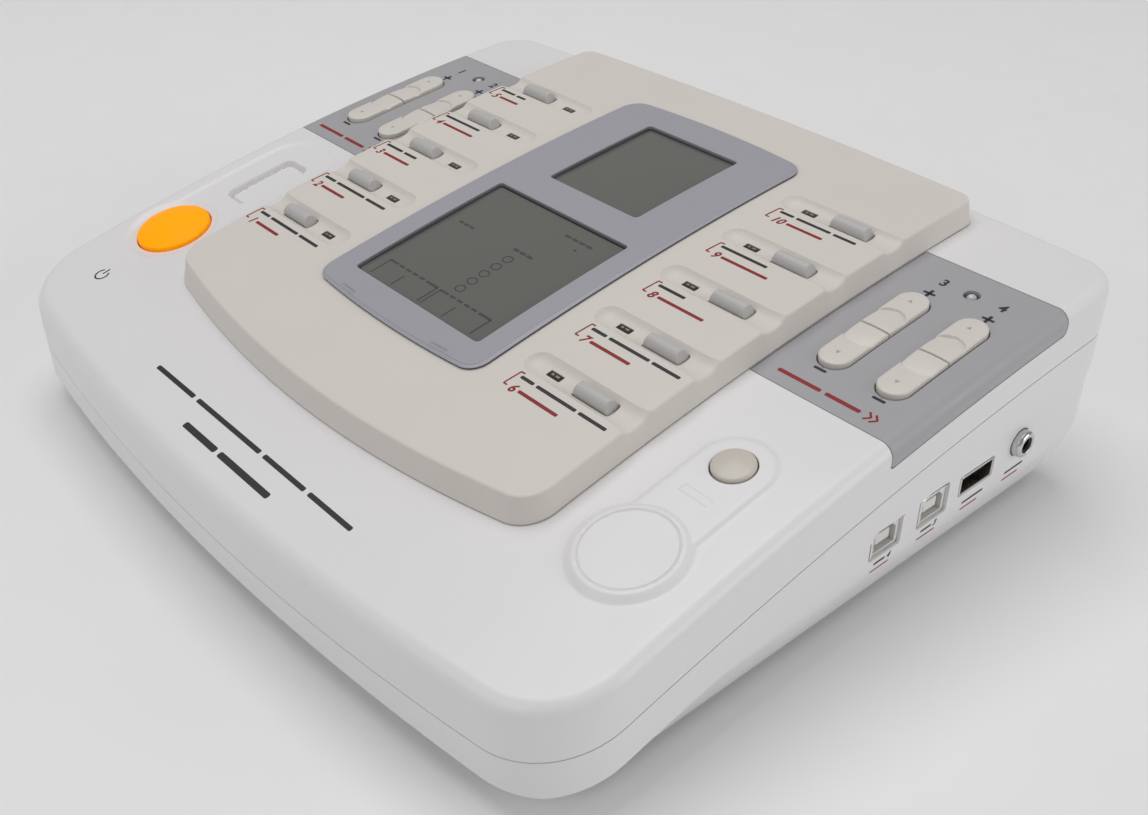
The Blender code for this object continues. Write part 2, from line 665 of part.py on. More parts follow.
# --- lights -----------------------------------------------------------------------------
def build_lights():
    for side, sign in (("left", -1), ("right", 1)):
        half = GUIDE_TIP[1] / 2
        bar = [(KEY_ROW_Y[0], -0.004, 0.0050), (KEY_ROW_Y[0], -0.004, 0.0034)]
        for y in KEY_ROW_Y:
            bar += [(y, -half, 0.0034), (y, -half, 0.0019), (y, half, 0.0019), (y, half, 0.0034)]
        bar += [(KEY_ROW_Y[-1], 0.004, 0.0034), (KEY_ROW_Y[-1], 0.004, 0.0050)]
        bar += [(y, 0.0, 0.0050) for y in reversed(KEY_ROW_Y[1:-1])]
        corners = [seat(0, y, crown, drop) @ Vector((0, offset, 0)) for y, offset, drop in bar]
        points = [(corner.y, corner.z) for corner in corners]
        inner_x = sign * GUIDE_X - GUIDE_TIP[0] / 2
        guide = add_side_profile(bmesh.new(), points, inner_x, inner_x + GUIDE_TIP[0])
        make_object(side + "_light_guide", guide, "smoked_plastic")
        lens = [(0.0024, -0.0045), (0.0024, -0.0036), (0.0015, -0.0036), (0.0015, -0.0014), (0.0008, -0.0008)]
        make_object(side + "_channel_led", add_turned(bmesh.new(), lens, 12), "led_lens",
                    seat(sign * CHANNEL_LED[0], CHANNEL_LED[1], cover_top))


# --- sockets ----------------------------------------------------------------------------
def socket_frame(side, y, z):
    """Socket axes: local Z points out of the case's side, local X to the rear or the front."""
    turn = Matrix.Rotation(pi / 2, 4, "Y") @ Matrix.Rotation(pi / 2, 4, "Z")
    place = Matrix.Translation((SOCKET_X, y, z)) @ turn
    if side == "left":
        place = Matrix.Translation((-SOCKET_X, y, z)) @ Matrix.Rotation(pi, 4, "Z") @ turn
    return place


def shell_socket(width, height, depth, rim, tongue):
    """A metal shell, open at its face, with a contact tongue that stands on its back wall."""
    bm = bmesh.new()
    outer = rounded_rectangle(width, height, 0.0008, 1)
    inner = rounded_rectangle(width - 2 * rim, height - 2 * rim, 0.0006, 1)
    base = rounded_rectangle(tongue[0], tongue[1], 0.0003, 1)
    back = -depth + 0.0020
    layers = [(outer, -depth), (outer, 0.0), (inner, 0.0), (inner, back), (base, back), (base, -0.0010)]
    return add_stack(bm, layers)


def build_sockets():
    width, height, z = OUTPUT_SOCKET
    numbers = {("left", 0): 1, ("left", 1): 2, ("right", 0): 4, ("right", 1): 3}
    for (side, i), number in numbers.items():
        socket = shell_socket(width, height, 0.0140, 0.0007, (0.0058, 0.0034))
        place = socket_frame(side, OUTPUT_SOCKET_Y[i], z)
        make_object(f"output_socket_{number}", socket, "socket_metal", place)
    width, height, z = PROBE_SOCKET
    probe = shell_socket(width, height, 0.0140, 0.0006, (0.0110, 0.0018))
    make_object("probe_socket", probe, "socket_metal", socket_frame("right", PROBE_SOCKET_Y, z))

    r = JACK_RADIUS
    proud = 0.1310 + JACK_PROUD - SOCKET_X
    jack = [(r, -0.0130), (r, proud - 0.0010), (r - 0.0014, proud), (0.0018, proud), (0.0018, -0.0100)]
    make_object("lead_jack", add_turned(bmesh.new(), jack, 20), "socket_metal",
                socket_frame("right", *JACK_POS))

    r = INLET_RADIUS
    bore = r - 0.0012
    inlet = [(r, -0.0120), (r, 0.0), (bore, 0.0), (bore, -0.0090), (0.0010, -0.0090), (0.0010, -0.0010)]
    rearward = Matrix.Translation((INLET_POS[0], inlet_face(), INLET_POS[1]))
    rearward = rearward @ Matrix.Rotation(-pi / 2, 4, "X")
    make_object("power_inlet", add_turned(bmesh.new(), inlet, 16), "socket_black", rearward)


# --- inside -----------------------------------------------------------------------------
def board(name, size, place, parts):
    """A circuit board whose top face is its local z = 0, with parts soldered onto it."""
    width, length = size
    plate = add_box(bmesh.new(), (width, length, BOARD_THICK), (0, 0, -BOARD_THICK / 2))
    item = make_object(name, plate, "board_green", place)
    blocks = bmesh.new()
    sunk = 0.0005
    for x, y, block in parts:
        tall = block[2] + sunk
        add_box(blocks, (block[0], block[1], tall), (x, y, tall / 2 - sunk))
    helper = make_helper(name + "_parts", blocks)
    helper.matrix_local = place
    combine(item, helper, "UNION")


def build_boards():
    coil = (0.015, 0.013, 0.012)
    parts = [(x, y, coil) for x in (-0.090, 0.090) for y in (0.020, 0.045)]
    parts += [(0.0, 0.060, (0.050, 0.012, 0.015)), (-0.030, 0.020, (0.014, 0.014, 0.0015)),
              (0.030, 0.010, (0.018, 0.010, 0.0015)), (-0.060, 0.066, (0.010, 0.010, 0.014))]
    place = Matrix.Translation((0, 0.0095, BOARD_Z + BOARD_THICK))
    board("main_board", (0.236, 0.152), place, parts)

    switch = (0.006, 0.006, 0.0022)
    middle_y = 0.0188
    place = seat(0, middle_y, crown, DISPLAY_BOARD_DROP)
    flat = place.inverted()
    parts = []
    for sign in (-1, 1):
        for y in KEY_ROW_Y:
            spot = flat @ Vector((sign * MODE_KEY_X, y, crown(y)))
            parts.append((spot.x, spot.y, switch))
    board("display_board", (0.152, 0.140), place, parts)

    for side, sign in (("left", -1), ("right", 1)):
        place = seat(sign * START_POS[0], 0.0150, cover_top, KEY_BOARD_DROP)
        flat = place.inverted()
        parts = []
        for x in OVAL_X:
            for y in (OVAL_Y - 0.010, OVAL_Y + 0.010):
                spot = flat @ Vector((sign * x, y, cover_top(y)))
                parts.append((spot.x, spot.y, switch))
        if side == "right":
            spot = flat @ Vector((*START_POS, cover_top(START_POS[1])))
            parts.append((spot.x, spot.y, switch))
        board(side + "_key_board", (0.036, 0.094), place, parts)

    body = [(rounded_rectangle(0.014, 0.014, 0.001, 1), z) for z in (0.0, 0.0085)]
    stem = [(rounded_rectangle(0.005, 0.005, 0.001, 1), z) for z in (0.0085, 0.0125)]
    place = Matrix.Translation((*POWER_POS, BOARD_Z + BOARD_THICK + CLEAR))
    make_object("power_switch", add_stack(bmesh.new(), body + stem), "socket_black", place)
    sounder = [(0.0060, 0.0), (0.0060, 0.0045), (0.0010, 0.0045), (0.0010, 0.0025)]
    place = Matrix.Translation((0.060, -0.040, BOARD_Z + BOARD_THICK + CLEAR))
    make_object("buzzer", add_turned(bmesh.new(), sounder, 16), "socket_black", place)


def build_feet_and_screws():
    thick = FOOT_HEIGHT - CLEAR
    foot = [(FOOT_RADIUS - 0.0006, 0.0), (FOOT_RADIUS, 0.0006), (FOOT_RADIUS, thick)]
    head_r, head_thick = SCREW_HEAD
    shaft_r = SCREW_SHAFT_RADIUS
    screw = [(head_r, -head_thick), (head_r, 0.0), (shaft_r, 0.0), (shaft_r, SCREW_LENGTH - head_thick)]
    for depth, sign_y, screw_y in (("front", -1, SCREW_Y[0]), ("rear", 1, SCREW_Y[1])):
        for side, sign in (("left", -1), ("right", 1)):
            place = Matrix.Translation((sign * FOOT_POS[0], sign_y * FOOT_POS[1], 0))
            make_object(f"{depth}_{side}_foot", add_turned(bmesh.new(), foot, 20), "rubber", place)
            place = Matrix.Translation((sign * SCREW_X, screw_y, FOOT_HEIGHT + SCREW_SUNK - CLEAR))
            name = f"{depth}_{side}_case_screw"
            make_object(name, add_turned(bmesh.new(), screw, 12), "screw_steel", place)


def main():
    clear_scene()
    origin = bpy.data.objects.new("case_origin", None)
    origin.location = (-JACK_PROUD / 2, 0, 0)
    bpy.context.scene.collection.objects.link(origin)
    build_cover()
    build_panel("left")
    build_panel("right")
    build_bottom_case()
    build_console()
    build_display()
    build_mode_keys()
    build_strength_keys()
    build_round_buttons()
    build_lights()
    build_sockets()
    build_boards()
    build_feet_and_screws()


main()
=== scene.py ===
from collections import namedtuple
from math import atan, cos, hypot, pi, radians, sin, sqrt

import bmesh
import bpy
import numpy as np
from mathutils import Matrix, Vector, kdtree
from mathutils.geometry import delaunay_2d_cdt


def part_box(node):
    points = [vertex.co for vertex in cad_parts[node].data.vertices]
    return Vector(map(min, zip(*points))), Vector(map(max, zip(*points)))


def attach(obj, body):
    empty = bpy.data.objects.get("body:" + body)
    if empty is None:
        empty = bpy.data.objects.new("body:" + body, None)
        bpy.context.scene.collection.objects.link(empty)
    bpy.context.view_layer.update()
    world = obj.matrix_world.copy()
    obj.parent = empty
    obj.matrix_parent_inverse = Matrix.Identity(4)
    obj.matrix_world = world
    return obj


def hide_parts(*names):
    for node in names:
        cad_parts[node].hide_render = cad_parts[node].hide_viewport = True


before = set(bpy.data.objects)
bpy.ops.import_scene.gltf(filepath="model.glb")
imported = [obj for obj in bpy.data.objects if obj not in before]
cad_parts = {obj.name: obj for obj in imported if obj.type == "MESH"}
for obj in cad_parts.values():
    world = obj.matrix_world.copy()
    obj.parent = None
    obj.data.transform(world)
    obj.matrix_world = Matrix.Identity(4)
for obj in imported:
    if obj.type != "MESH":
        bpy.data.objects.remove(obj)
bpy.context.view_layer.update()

MM = 0.001
TINY = 1e-12
MERGE = 0.002 * MM
SHARP = radians(38)


def mm(*values):
    """Millimetres to metres."""
    return tuple(value * MM for value in values)


CORNERS = ("front_left", "front_right", "rear_left", "rear_right")
SIDES = {"left": -1, "right": 1}

# --- case dimensions, the same arch and outlines as the CAD ------------------------------
CROWN_Z = 65.94 * MM
CROWN_SLOPE = 0.161
CROWN_RADIUS = 0.976
CONSOLE_RISE = 7.5 * MM
FOOT_HEIGHT = 3.0 * MM
CLEAR = 0.3 * MM
WALL = 2.6 * MM
COVER_THICK = 3.2 * MM
EDGE_R = 3.8 * MM
SEAM_DROP = 16.0 * MM
SEAM_LIP = 0.16 * MM
BAND_HEIGHT = 11.5 * MM
BAND_STEP = 0.5 * MM
KNEE_Z = 20.5 * MM
UNDERCUT = mm(8.5, 12.0, 8.5)
KNEE_START = 0.76
KNEE_END = 0.3
FLOOR_THICK = 2.5 * MM
CONSOLE_DRAFT = 1.3 * MM
CONSOLE_THICK = 3.0 * MM
SCOOP_REACH = 4.12 * MM
SCOOP_DEPTH = 1.7 * MM
SCOOP_START_X = 47.1 * MM
SCOOP_SEARCH = mm(6, 7)
FRAME_RISE = 1.1 * MM
PANEL_THICK = 1.2 * MM
OVAL_WIDTH = 9.4 * MM
OVAL_LENGTH = 40.2 * MM
KEY_SPLIT = 0.5 * MM
KEY_BASE = -3.4 * MM

Outline = namedtuple("Outline", "half_width front_y rear_y front_bow rear_bow front_r rear_r steps")
CASE = Outline(0.1310, -0.11175, 0.11175, 0.575, 0.30, 0.024, 0.013, (26, 16, 90, 12, 24))
CONSOLE = Outline(0.0848, -0.0786, 0.1050, 1.32, 0.32, 0.010, 0.006, (30, 12, 340, 8, 24))
FRAME = Outline(0.0370, -0.0497, 0.0829, 1.40, 1.60, 0.0060, 0.0065, (22, 9, 50, 9, 18))


def crown(y):
    """Height of the console's top face."""
    return CROWN_Z + CROWN_SLOPE * y - y * y / (2 * CROWN_RADIUS)


def cover_top(y):
    return crown(y) - CONSOLE_RISE


def seam(y):
    return cover_top(y) - SEAM_DROP


def band_edge(y):
    return max(seam(y) - BAND_HEIGHT, FOOT_HEIGHT + 7.0 * MM)


def lower_wall(y):
    """Height of the knee, where the lower wall turns inward."""
    return min(KNEE_Z, band_edge(y) - 0.4 * MM)


def bend(start, knee, end, share):
    """A value along the curve that turns the knee."""
    return (1 - share) ** 2 * start + 2 * share * (1 - share) * knee + share * share * end


def wall_height(y, share):
    """Height at a share of the way from the underside to the knee."""
    return FOOT_HEIGHT + (lower_wall(y) - FOOT_HEIGHT) * share


def knee_height(y, share):
    knee = lower_wall(y)
    end = knee + (band_edge(y) - knee) * KNEE_END
    return bend(wall_height(y, KNEE_START), knee, end, share)


def knee_inset(share):
    """How much of the undercut is gone at a share of the knee's curve."""
    return bend(KNEE_START, 1, 1, share)


def below(surface, drop):
    return lambda y: surface(y) - drop


def level(z):
    return lambda y: z


def normal_at(y):
    slope = CROWN_SLOPE - y / CROWN_RADIUS
    return Vector((0, -slope, 1)).normalized()


def seat(x, y, surface, depth=0.0):
    """A frame on a surface at (x, y), with its Z along the surface's normal."""
    turn = Matrix.Rotation(atan(CROWN_SLOPE - y / CROWN_RADIUS), 4, "X")
    return Matrix.Translation((x, y, surface(y))) @ turn @ Matrix.Translation((0, 0, -depth))


def middle(node):
    low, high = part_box(node)
    return (low + high) / 2


def upright(node, z):
    """An upright frame over a node's middle."""
    centre = middle(node)
    return Matrix.Translation((centre.x - MID_X, centre.y, z))


MID_X = middle("display_frame").x


def spot(node, surface):
    """Where a node's own axis crosses a surface: (x, y) in the case frame."""
    centre = middle(node)
    normal = normal_at(centre.y)
    depth = (surface(centre.y) - centre.z) * normal.z
    return centre.x - MID_X, centre.y + normal.y * depth


def oval_middle(output):
    """The middle of the oval that holds an output's two strength keys."""
    plus = spot(f"out{output}_plus_key", cover_top)
    minus = spot(f"out{output}_minus_key", cover_top)
    return plus[0], (plus[1] + minus[1]) / 2


# --- outlines ---------------------------------------------------------------------------
def outline_loop(outline, inset=0.0):
    """The whole outline set in by (side, front, rear), counter-clockwise from the front's middle."""
    side, front, rear = inset if isinstance(inset, tuple) else (inset, inset, inset)
    half_width = outline.half_width - side
    front_r = max(outline.front_r - max(side, front), 1.0 * MM)
    rear_r = max(outline.rear_r - max(side, rear), 1.0 * MM)
    bow_n, corner_n, side_n, rear_n, rear_bow_n = outline.steps

    def corner(radius, bow):
        x = half_width - radius
        for _ in range(4):
            x = half_width - radius + radius * sin(atan(2 * bow * x))
        return x, atan(2 * bow * x)

    front_x, front_a = corner(front_r, outline.front_bow)
    rear_x, rear_a = corner(rear_r, outline.rear_bow)
    front_y = outline.front_y + front
    rear_y = outline.rear_y - rear
    front_centre = front_y + outline.front_bow * front_x ** 2 + front_r * cos(front_a)
    rear_centre = rear_y - outline.rear_bow * rear_x ** 2 - rear_r * cos(rear_a)
    points = []
    for i in range(bow_n + 1):
        x = front_x * i / bow_n
        points.append((x, front_y + outline.front_bow * x * x))
    for i in range(1, corner_n + 1):
        angle = (front_a - pi / 2) * (1 - i / corner_n)
        points.append((half_width - front_r + front_r * cos(angle), front_centre + front_r * sin(angle)))
    for i in range(1, side_n + 1):
        points.append((half_width, front_centre + (rear_centre - front_centre) * i / side_n))
    for i in range(1, rear_n + 1):
        angle = (pi / 2 - rear_a) * i / rear_n
        points.append((half_width - rear_r + rear_r * cos(angle), rear_centre + rear_r * sin(angle)))
    for i in range(1, rear_bow_n + 1):
        x = rear_x * (1 - i / rear_bow_n)
        points.append((x, rear_y - outline.rear_bow * x * x))
    return points + [(-x, y) for x, y in reversed(points[1:-1])]


def rounded_rectangle(width, length, radius, steps=6):
    points = []
    for k, (sx, sy) in enumerate(((1, 1), (-1, 1), (-1, -1), (1, -1))):
        for i in range(steps + 1):
            angle = pi / 2 * (k + i / steps)
            x = sx * (width / 2 - radius) + radius * cos(angle)
            points.append((x, sy * (length / 2 - radius) + radius * sin(angle)))
    return points


def key_oval(steps):
    """The opening round a pair of strength keys."""
    width, length = OVAL_WIDTH + 2 * CLEAR, OVAL_LENGTH + 2 * CLEAR
    return rounded_rectangle(width, length, OVAL_WIDTH / 2 + CLEAR, steps)


def circle(radius, steps):
    return [(radius * cos(2 * pi * i / steps), radius * sin(2 * pi * i / steps)) for i in range(steps)]


def moved(points, x, y):
    return [(px + x, py + y) for px, py in points]


def divided(points, step, closed=True):
    """The same loop or open line with its long edges divided."""
    out = []
    for (x0, y0), (x1, y1) in zip(points, points[1:] + points[:1] if closed else points[1:]):
        count = max(1, round(hypot(x1 - x0, y1 - y0) / step))
        out += [(x0 + (x1 - x0) * i / count, y0 + (y1 - y0) * i / count) for i in range(count)]
    return out if closed else out + points[-1:]


def grown(points, reach):
    """A counter-clockwise loop moved outward by reach, or inward where reach is negative."""
    ring = np.array(points)
    ahead = np.roll(ring, -1, 0) - ring
    behind = ring - np.roll(ring, 1, 0)
    ahead /= np.maximum(np.linalg.norm(ahead, axis=1), TINY)[:, None]
    behind /= np.maximum(np.linalg.norm(behind, axis=1), TINY)[:, None]
    mean = ahead + behind
    mean /= np.linalg.norm(mean, axis=1)[:, None]
    stretch = 1 / np.maximum((mean * ahead).sum(1), 0.5)
    outward = np.column_stack((mean[:, 1], -mean[:, 0])) * stretch[:, None]
    return [tuple(p) for p in ring + outward * reach]


# --- mesh building ----------------------------------------------------------------------
def inside(points, loop):
    """Which of the points lie inside a closed loop."""
    ring = np.array(loop)
    after = np.roll(ring, -1, 0)
    result = np.zeros(len(points), bool)
    for (x0, y0), (x1, y1) in zip(ring, after):
        if y0 == y1:
            continue
        spans = (points[:, 1] < y0) != (points[:, 1] < y1)
        result ^= spans & (points[:, 0] < (x1 - x0) * (points[:, 1] - y0) / (y1 - y0) + x0)
    return result


def fill_points(loops, spacing, patches, creases):
    """Points for a skin's inside: a coarse staggered grid, finer in each patch (x0, y0, x1, y1, step)."""
    rim = [p for loop in loops + creases for p in loop]
    tree = kdtree.KDTree(len(rim))
    for i, (x, y) in enumerate(rim):
        tree.insert((x, y, 0), i)
    tree.balance()
    (x0, y0), (x1, y1) = np.min(loops[0], 0), np.max(loops[0], 0)
    areas = [(x0, y0, x1, y1, spacing)] + list(patches)
    chosen = []
    for number, (x0, y0, x1, y1, step) in enumerate(areas):
        columns, rows = np.meshgrid(np.arange(x0, x1, step), np.arange(y0, y1, step * 0.87))
        columns[1::2] += step / 2
        points = np.column_stack((columns.ravel(), rows.ravel()))
        keep = inside(points, loops[0])
        for hole in loops[1:]:
            keep &= ~inside(points, hole)
        for ax, ay, bx, by, _ in areas[number + 1:]:
            within = (points[:, 0] > ax) & (points[:, 0] < bx) & (points[:, 1] > ay) & (points[:, 1] < by)
            keep &= ~within
        for x, y in points[keep]:
            if tree.find((x, y, 0))[2] > step * 0.5:
                chosen.append((x, y))
    return chosen


def sheet(bm, loops, place, spacing, patches=(), creases=()):
    """A triangulated skin inside loops[0] and outside the other loops, with mesh edges along the
    creases; place(x, y) gives its points."""
    rim = []
    edges = []
    owner = []
    for number, loop in enumerate(loops):
        start = len(rim)
        rim += loop
        owner += [number] * len(loop)
        edges += [(start + i, start + (i + 1) % len(loop)) for i in range(len(loop))]
    for line in creases:
        start = len(rim)
        rim += line
        owner += [-1] * len(line)
        edges += [(start + i, start + i + 1) for i in range(len(line) - 1)]
    flat = [Vector(p) for p in rim + fill_points(loops, spacing, patches, list(creases))]
    found = delaunay_2d_cdt(flat, edges, [], 1, 1e-8, True)
    corners, faces, origins = found[0], found[2], found[3]
    verts = [bm.verts.new(place(p.x, p.y)) for p in corners]
    sources = [owner[ids[0]] if ids and ids[0] < len(owner) else -1 for ids in origins]
    for face in faces:
        kinds = {sources[i] for i in face}
        if len(kinds) == 1 and kinds.pop() > 0:
            continue
        bm.faces.new([verts[i] for i in face])


def skin(bm, rings):
    """Quads between successive closed rings of points."""
    levels = [[bm.verts.new(p) for p in ring] for ring in rings]
    count = len(levels[0])
    for lower, upper in zip(levels, levels[1:]):
        for i in range(count):
            j = (i + 1) % count
            bm.faces.new((lower[i], lower[j], upper[j], upper[i]))
    return levels


def in_frame(matrix):
    """A place function for a plain frame."""
    return lambda x, y, z=0.0: matrix @ Vector((x, y, z))


def laid(rings, place):
    """Rings of 3-D points from (outline, third coordinate)."""
    return [[place(x, y, z) for x, y in points] for points, z in rings]


def band(bm, rings, place):
    """A closed band: the last ring is joined to the first."""
    skin(bm, laid(rings + rings[:1], place))


def stack(bm, layers, matrix):
    """A closed body through layers of (outline, z)."""
    levels = skin(bm, laid(layers, in_frame(matrix)))
    bm.faces.new(levels[0])
    bm.faces.new(levels[-1])


def turned(bm, profile, steps, matrix):
    """A body of revolution about Z through a profile of (radius, z)."""
    stack(bm, [(circle(radius, steps), z) for radius, z in profile], matrix)


def arc(centre, radius, start, end, steps):
    """Profile points on an arc, angles in degrees."""
    angles = [radians(start + (end - start) * i / steps) for i in range(steps + 1)]
    return [(centre[0] + radius * cos(angle), centre[1] + radius * sin(angle)) for angle in angles]


def edge_rings(loop, sign, place, fillet, steps=5):
    """Rings round a top edge: sign is 1 for an outer edge and -1 for a hole's."""
    rings = []
    for i in range(steps + 1):
        angle = pi / 2 * i / steps
        ring = grown(loop, -sign * fillet * (1 - sin(angle)))
        rings.append([place(x, y, fillet * (1 - cos(angle))) for x, y in ring])
    return rings


def plate(bm, outer, holes, place, thickness, fillet, spacing, patches=(), underside=None):
    """A closed plate whose top edges are rounded, also round its holes."""
    underside = underside or (lambda x, y: place(x, y, thickness))
    top = [grown(outer, -fillet)] + [grown(hole, fillet) for hole in holes]
    sheet(bm, top, lambda x, y: place(x, y, 0.0), spacing, patches)
    for number, loop in enumerate([outer] + holes):
        rings = edge_rings(loop, -1 if number else 1, place, fillet)
        skin(bm, rings + [[underside(x, y) for x, y in loop]])
    sheet(bm, [outer] + holes, underside, spacing * 2)


def on_surface(surface):
    """A place function for a plain surface: depth is measured along its normal."""
    def place(x, y, depth=0.0):
        return Vector((x, y, surface(y))) - normal_at(y) * depth
    return place


def turned_piece(profile, steps, matrix, *details, **options):
    """A body of revolution as a piece of its own; the rest goes to finish_piece."""
    bm = bmesh.new()
    turned(bm, profile, steps, matrix)
    finish_piece(bm, *details, **options)


def finish_mesh(bm, name, matrix=None):
    bmesh.ops.remove_doubles(bm, verts=bm.verts, dist=MERGE)
    bmesh.ops.recalc_face_normals(bm, faces=bm.faces)
    bm.transform(Matrix.Translation((MID_X, 0, 0)) @ (matrix or Matrix()))
    mesh = bpy.data.meshes.new(name)
    bm.to_mesh(mesh)
    bm.free()
    item = bpy.data.objects.new(name, mesh)
    bpy.context.scene.collection.objects.link(item)
    return item


def finish_piece(bm, name, body, slot, material, replaces=(), matrix=None, cutters=()):
    """Turn a bmesh into a smooth-shaded piece that rides on a body."""
    item = finish_mesh(bm, name, matrix)
    for cutter in cutters:
        cut(item, cutter)
    item.data.materials.clear()
    item.data.materials.append(material)
    item.data.shade_smooth()
    item.data.set_sharp_from_angle(angle=SHARP)
    weighted = item.modifiers.new("even_shading", "WEIGHTED_NORMAL")
    weighted.keep_sharp = True
    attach(item, body)
    if replaces:
        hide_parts(*replaces)


def cut(item, bm):
    """Cut a closed mesh from a piece and keep the result as its mesh."""
    cutter = finish_mesh(bm, item.name + "_cutter")
    modifier = item.modifiers.new("cut", "BOOLEAN")
    modifier.operation = "DIFFERENCE"
    modifier.solver = "MANIFOLD"
    modifier.object = cutter
    bpy.context.view_layer.update()
    result = bpy.data.meshes.new_from_object(item.evaluated_get(bpy.context.evaluated_depsgraph_get()))
    item.modifiers.clear()
    item.data = result
    bpy.data.objects.remove(cutter, do_unlink=True)


# --- materials --------------------------------------------------------------------------
def shader_material(name, colour, roughness, metallic=0.0, grain=(900.0, 0.02), speckle=0.015,
                    coat=0.0, wear=0.25, transmission=0.0, specular=0.5, glow=None):
    """Moulded or plated surface: colour drift, fine grain in bump, uneven gloss, paler worn edges."""
    material = bpy.data.materials.new(name)
    material.use_nodes = True
    tree = material.node_tree
    shader = tree.nodes["Principled BSDF"]
    link = tree.links.new

    def node(kind, **values):
        made = tree.nodes.new(kind)
        for key, value in values.items():
            made.inputs[key.replace("_", " ")].default_value = value
        return made

    where = tree.nodes.new("ShaderNodeTexCoord").outputs["Object"]
    drift = node("ShaderNodeTexNoise", Scale=22.0, Detail=3.0, Roughness=0.55)
    fine = node("ShaderNodeTexNoise", Scale=grain[0], Detail=2.0, Roughness=0.6)
    smudge = node("ShaderNodeTexNoise", Scale=75.0, Detail=5.0, Roughness=0.65)
    for texture in (drift, fine, smudge):
        link(where, texture.inputs["Vector"])

    tint = node("ShaderNodeMapRange", To_Min=1 - speckle, To_Max=1 + speckle)
    link(drift.outputs["Fac"], tint.inputs["Value"])
    scaled = tree.nodes.new("ShaderNodeVectorMath")
    scaled.operation = "SCALE"
    scaled.inputs[0].default_value = colour
    link(tint.outputs["Result"], scaled.inputs["Scale"])

    edge = node("ShaderNodeMapRange", From_Min=0.53, From_Max=0.62, To_Max=wear)
    link(tree.nodes.new("ShaderNodeNewGeometry").outputs["Pointiness"], edge.inputs["Value"])
    broken = tree.nodes.new("ShaderNodeMath")
    broken.operation = "MULTIPLY"
    link(edge.outputs["Result"], broken.inputs[0])
    link(smudge.outputs["Fac"], broken.inputs[1])
    worn = tree.nodes.new("ShaderNodeMix")
    worn.data_type = "RGBA"
    link(broken.outputs[0], worn.inputs["Factor"])
    link(scaled.outputs["Vector"], worn.inputs["A"])
    worn.inputs["B"].default_value = (*[min(1.0, c * 1.15 + 0.06) for c in colour], 1.0)
    link(worn.outputs["Result"], shader.inputs["Base Color"])

    gloss = node("ShaderNodeMapRange", From_Min=0.3, From_Max=0.7,
                 To_Min=roughness * 0.86, To_Max=roughness * 1.16)
    link(smudge.outputs["Fac"], gloss.inputs["Value"])
    link(gloss.outputs["Result"], shader.inputs["Roughness"])

    bump = node("ShaderNodeBump", Strength=1.0, Distance=grain[1] * MM)
    link(fine.outputs["Fac"], bump.inputs["Height"])
    link(bump.outputs["Normal"], shader.inputs["Normal"])

    shader.inputs["Metallic"].default_value = metallic
    shader.inputs["Coat Weight"].default_value = coat
    shader.inputs["Coat Roughness"].default_value = 0.08
    shader.inputs["Specular IOR Level"].default_value = specular
    shader.inputs["Transmission Weight"].default_value = transmission
    if glow:
        shader.inputs["Emission Color"].default_value = (*glow, 1.0)
        shader.inputs["Emission Strength"].default_value = 1.0
    return material


SHELL = shader_material("white_shell", (0.80, 0.793, 0.796), 0.32, coat=0.08, grain=(2600, 0.005),
                        wear=0.05)
CONSOLE_PAINT = shader_material("console_beige", (0.70, 0.665, 0.615), 0.46, grain=(2600, 0.010),
                                speckle=0.02)
PANEL_PLASTIC = shader_material("panel_grey", (0.39, 0.385, 0.40), 0.42, grain=(2400, 0.012), speckle=0.02)
FRAME_PLASTIC = shader_material("frame_grey", (0.36, 0.363, 0.40), 0.38, grain=(2400, 0.010), speckle=0.02)
GLASS = shader_material("lcd_glass", (0.130, 0.135, 0.120), 0.16, coat=0.5, grain=(400, 0.002), wear=0.0)
SEGMENT = shader_material("lcd_segment", (0.058, 0.061, 0.055), 0.22, coat=0.4, grain=(400, 0.002), wear=0.0)
MODE_PLASTIC = shader_material("mode_key", (0.515, 0.51, 0.50), 0.34, grain=(2200, 0.008))
STRENGTH_PLASTIC = shader_material("strength_key", (0.70, 0.67, 0.615), 0.34, grain=(1800, 0.008))
ORANGE = shader_material("power_orange", (1.0, 0.49, 0.002), 0.45, grain=(2600, 0.004), specular=0.08,
                         wear=0.0, glow=(0.26, 0.015, 0.0))
START_PLASTIC = shader_material("start_beige", (0.60, 0.562, 0.50), 0.34, grain=(2400, 0.003), coat=0.1)
# Painted shade: near-black plastic put where there is only shade, in the display windows, under the frame's
# edge and down the channel LED holes.
SHADE_LINER = shader_material("painted_shade_liner", (0.075, 0.080, 0.095), 0.45, grain=(1500, 0.006), wear=0.0)
SMOKED = shader_material("smoked_plastic", (0.012, 0.011, 0.010), 0.12, coat=0.5, grain=(900, 0.004))
# Painted shade: a darker beige for the small triangles on the strength keys, standing for the shade in their
# small recessed pits.
ARROW_PIT_SHADE = shader_material("key_arrow_pit_shade", (0.40, 0.37, 0.335), 0.4, grain=(2400, 0.003))
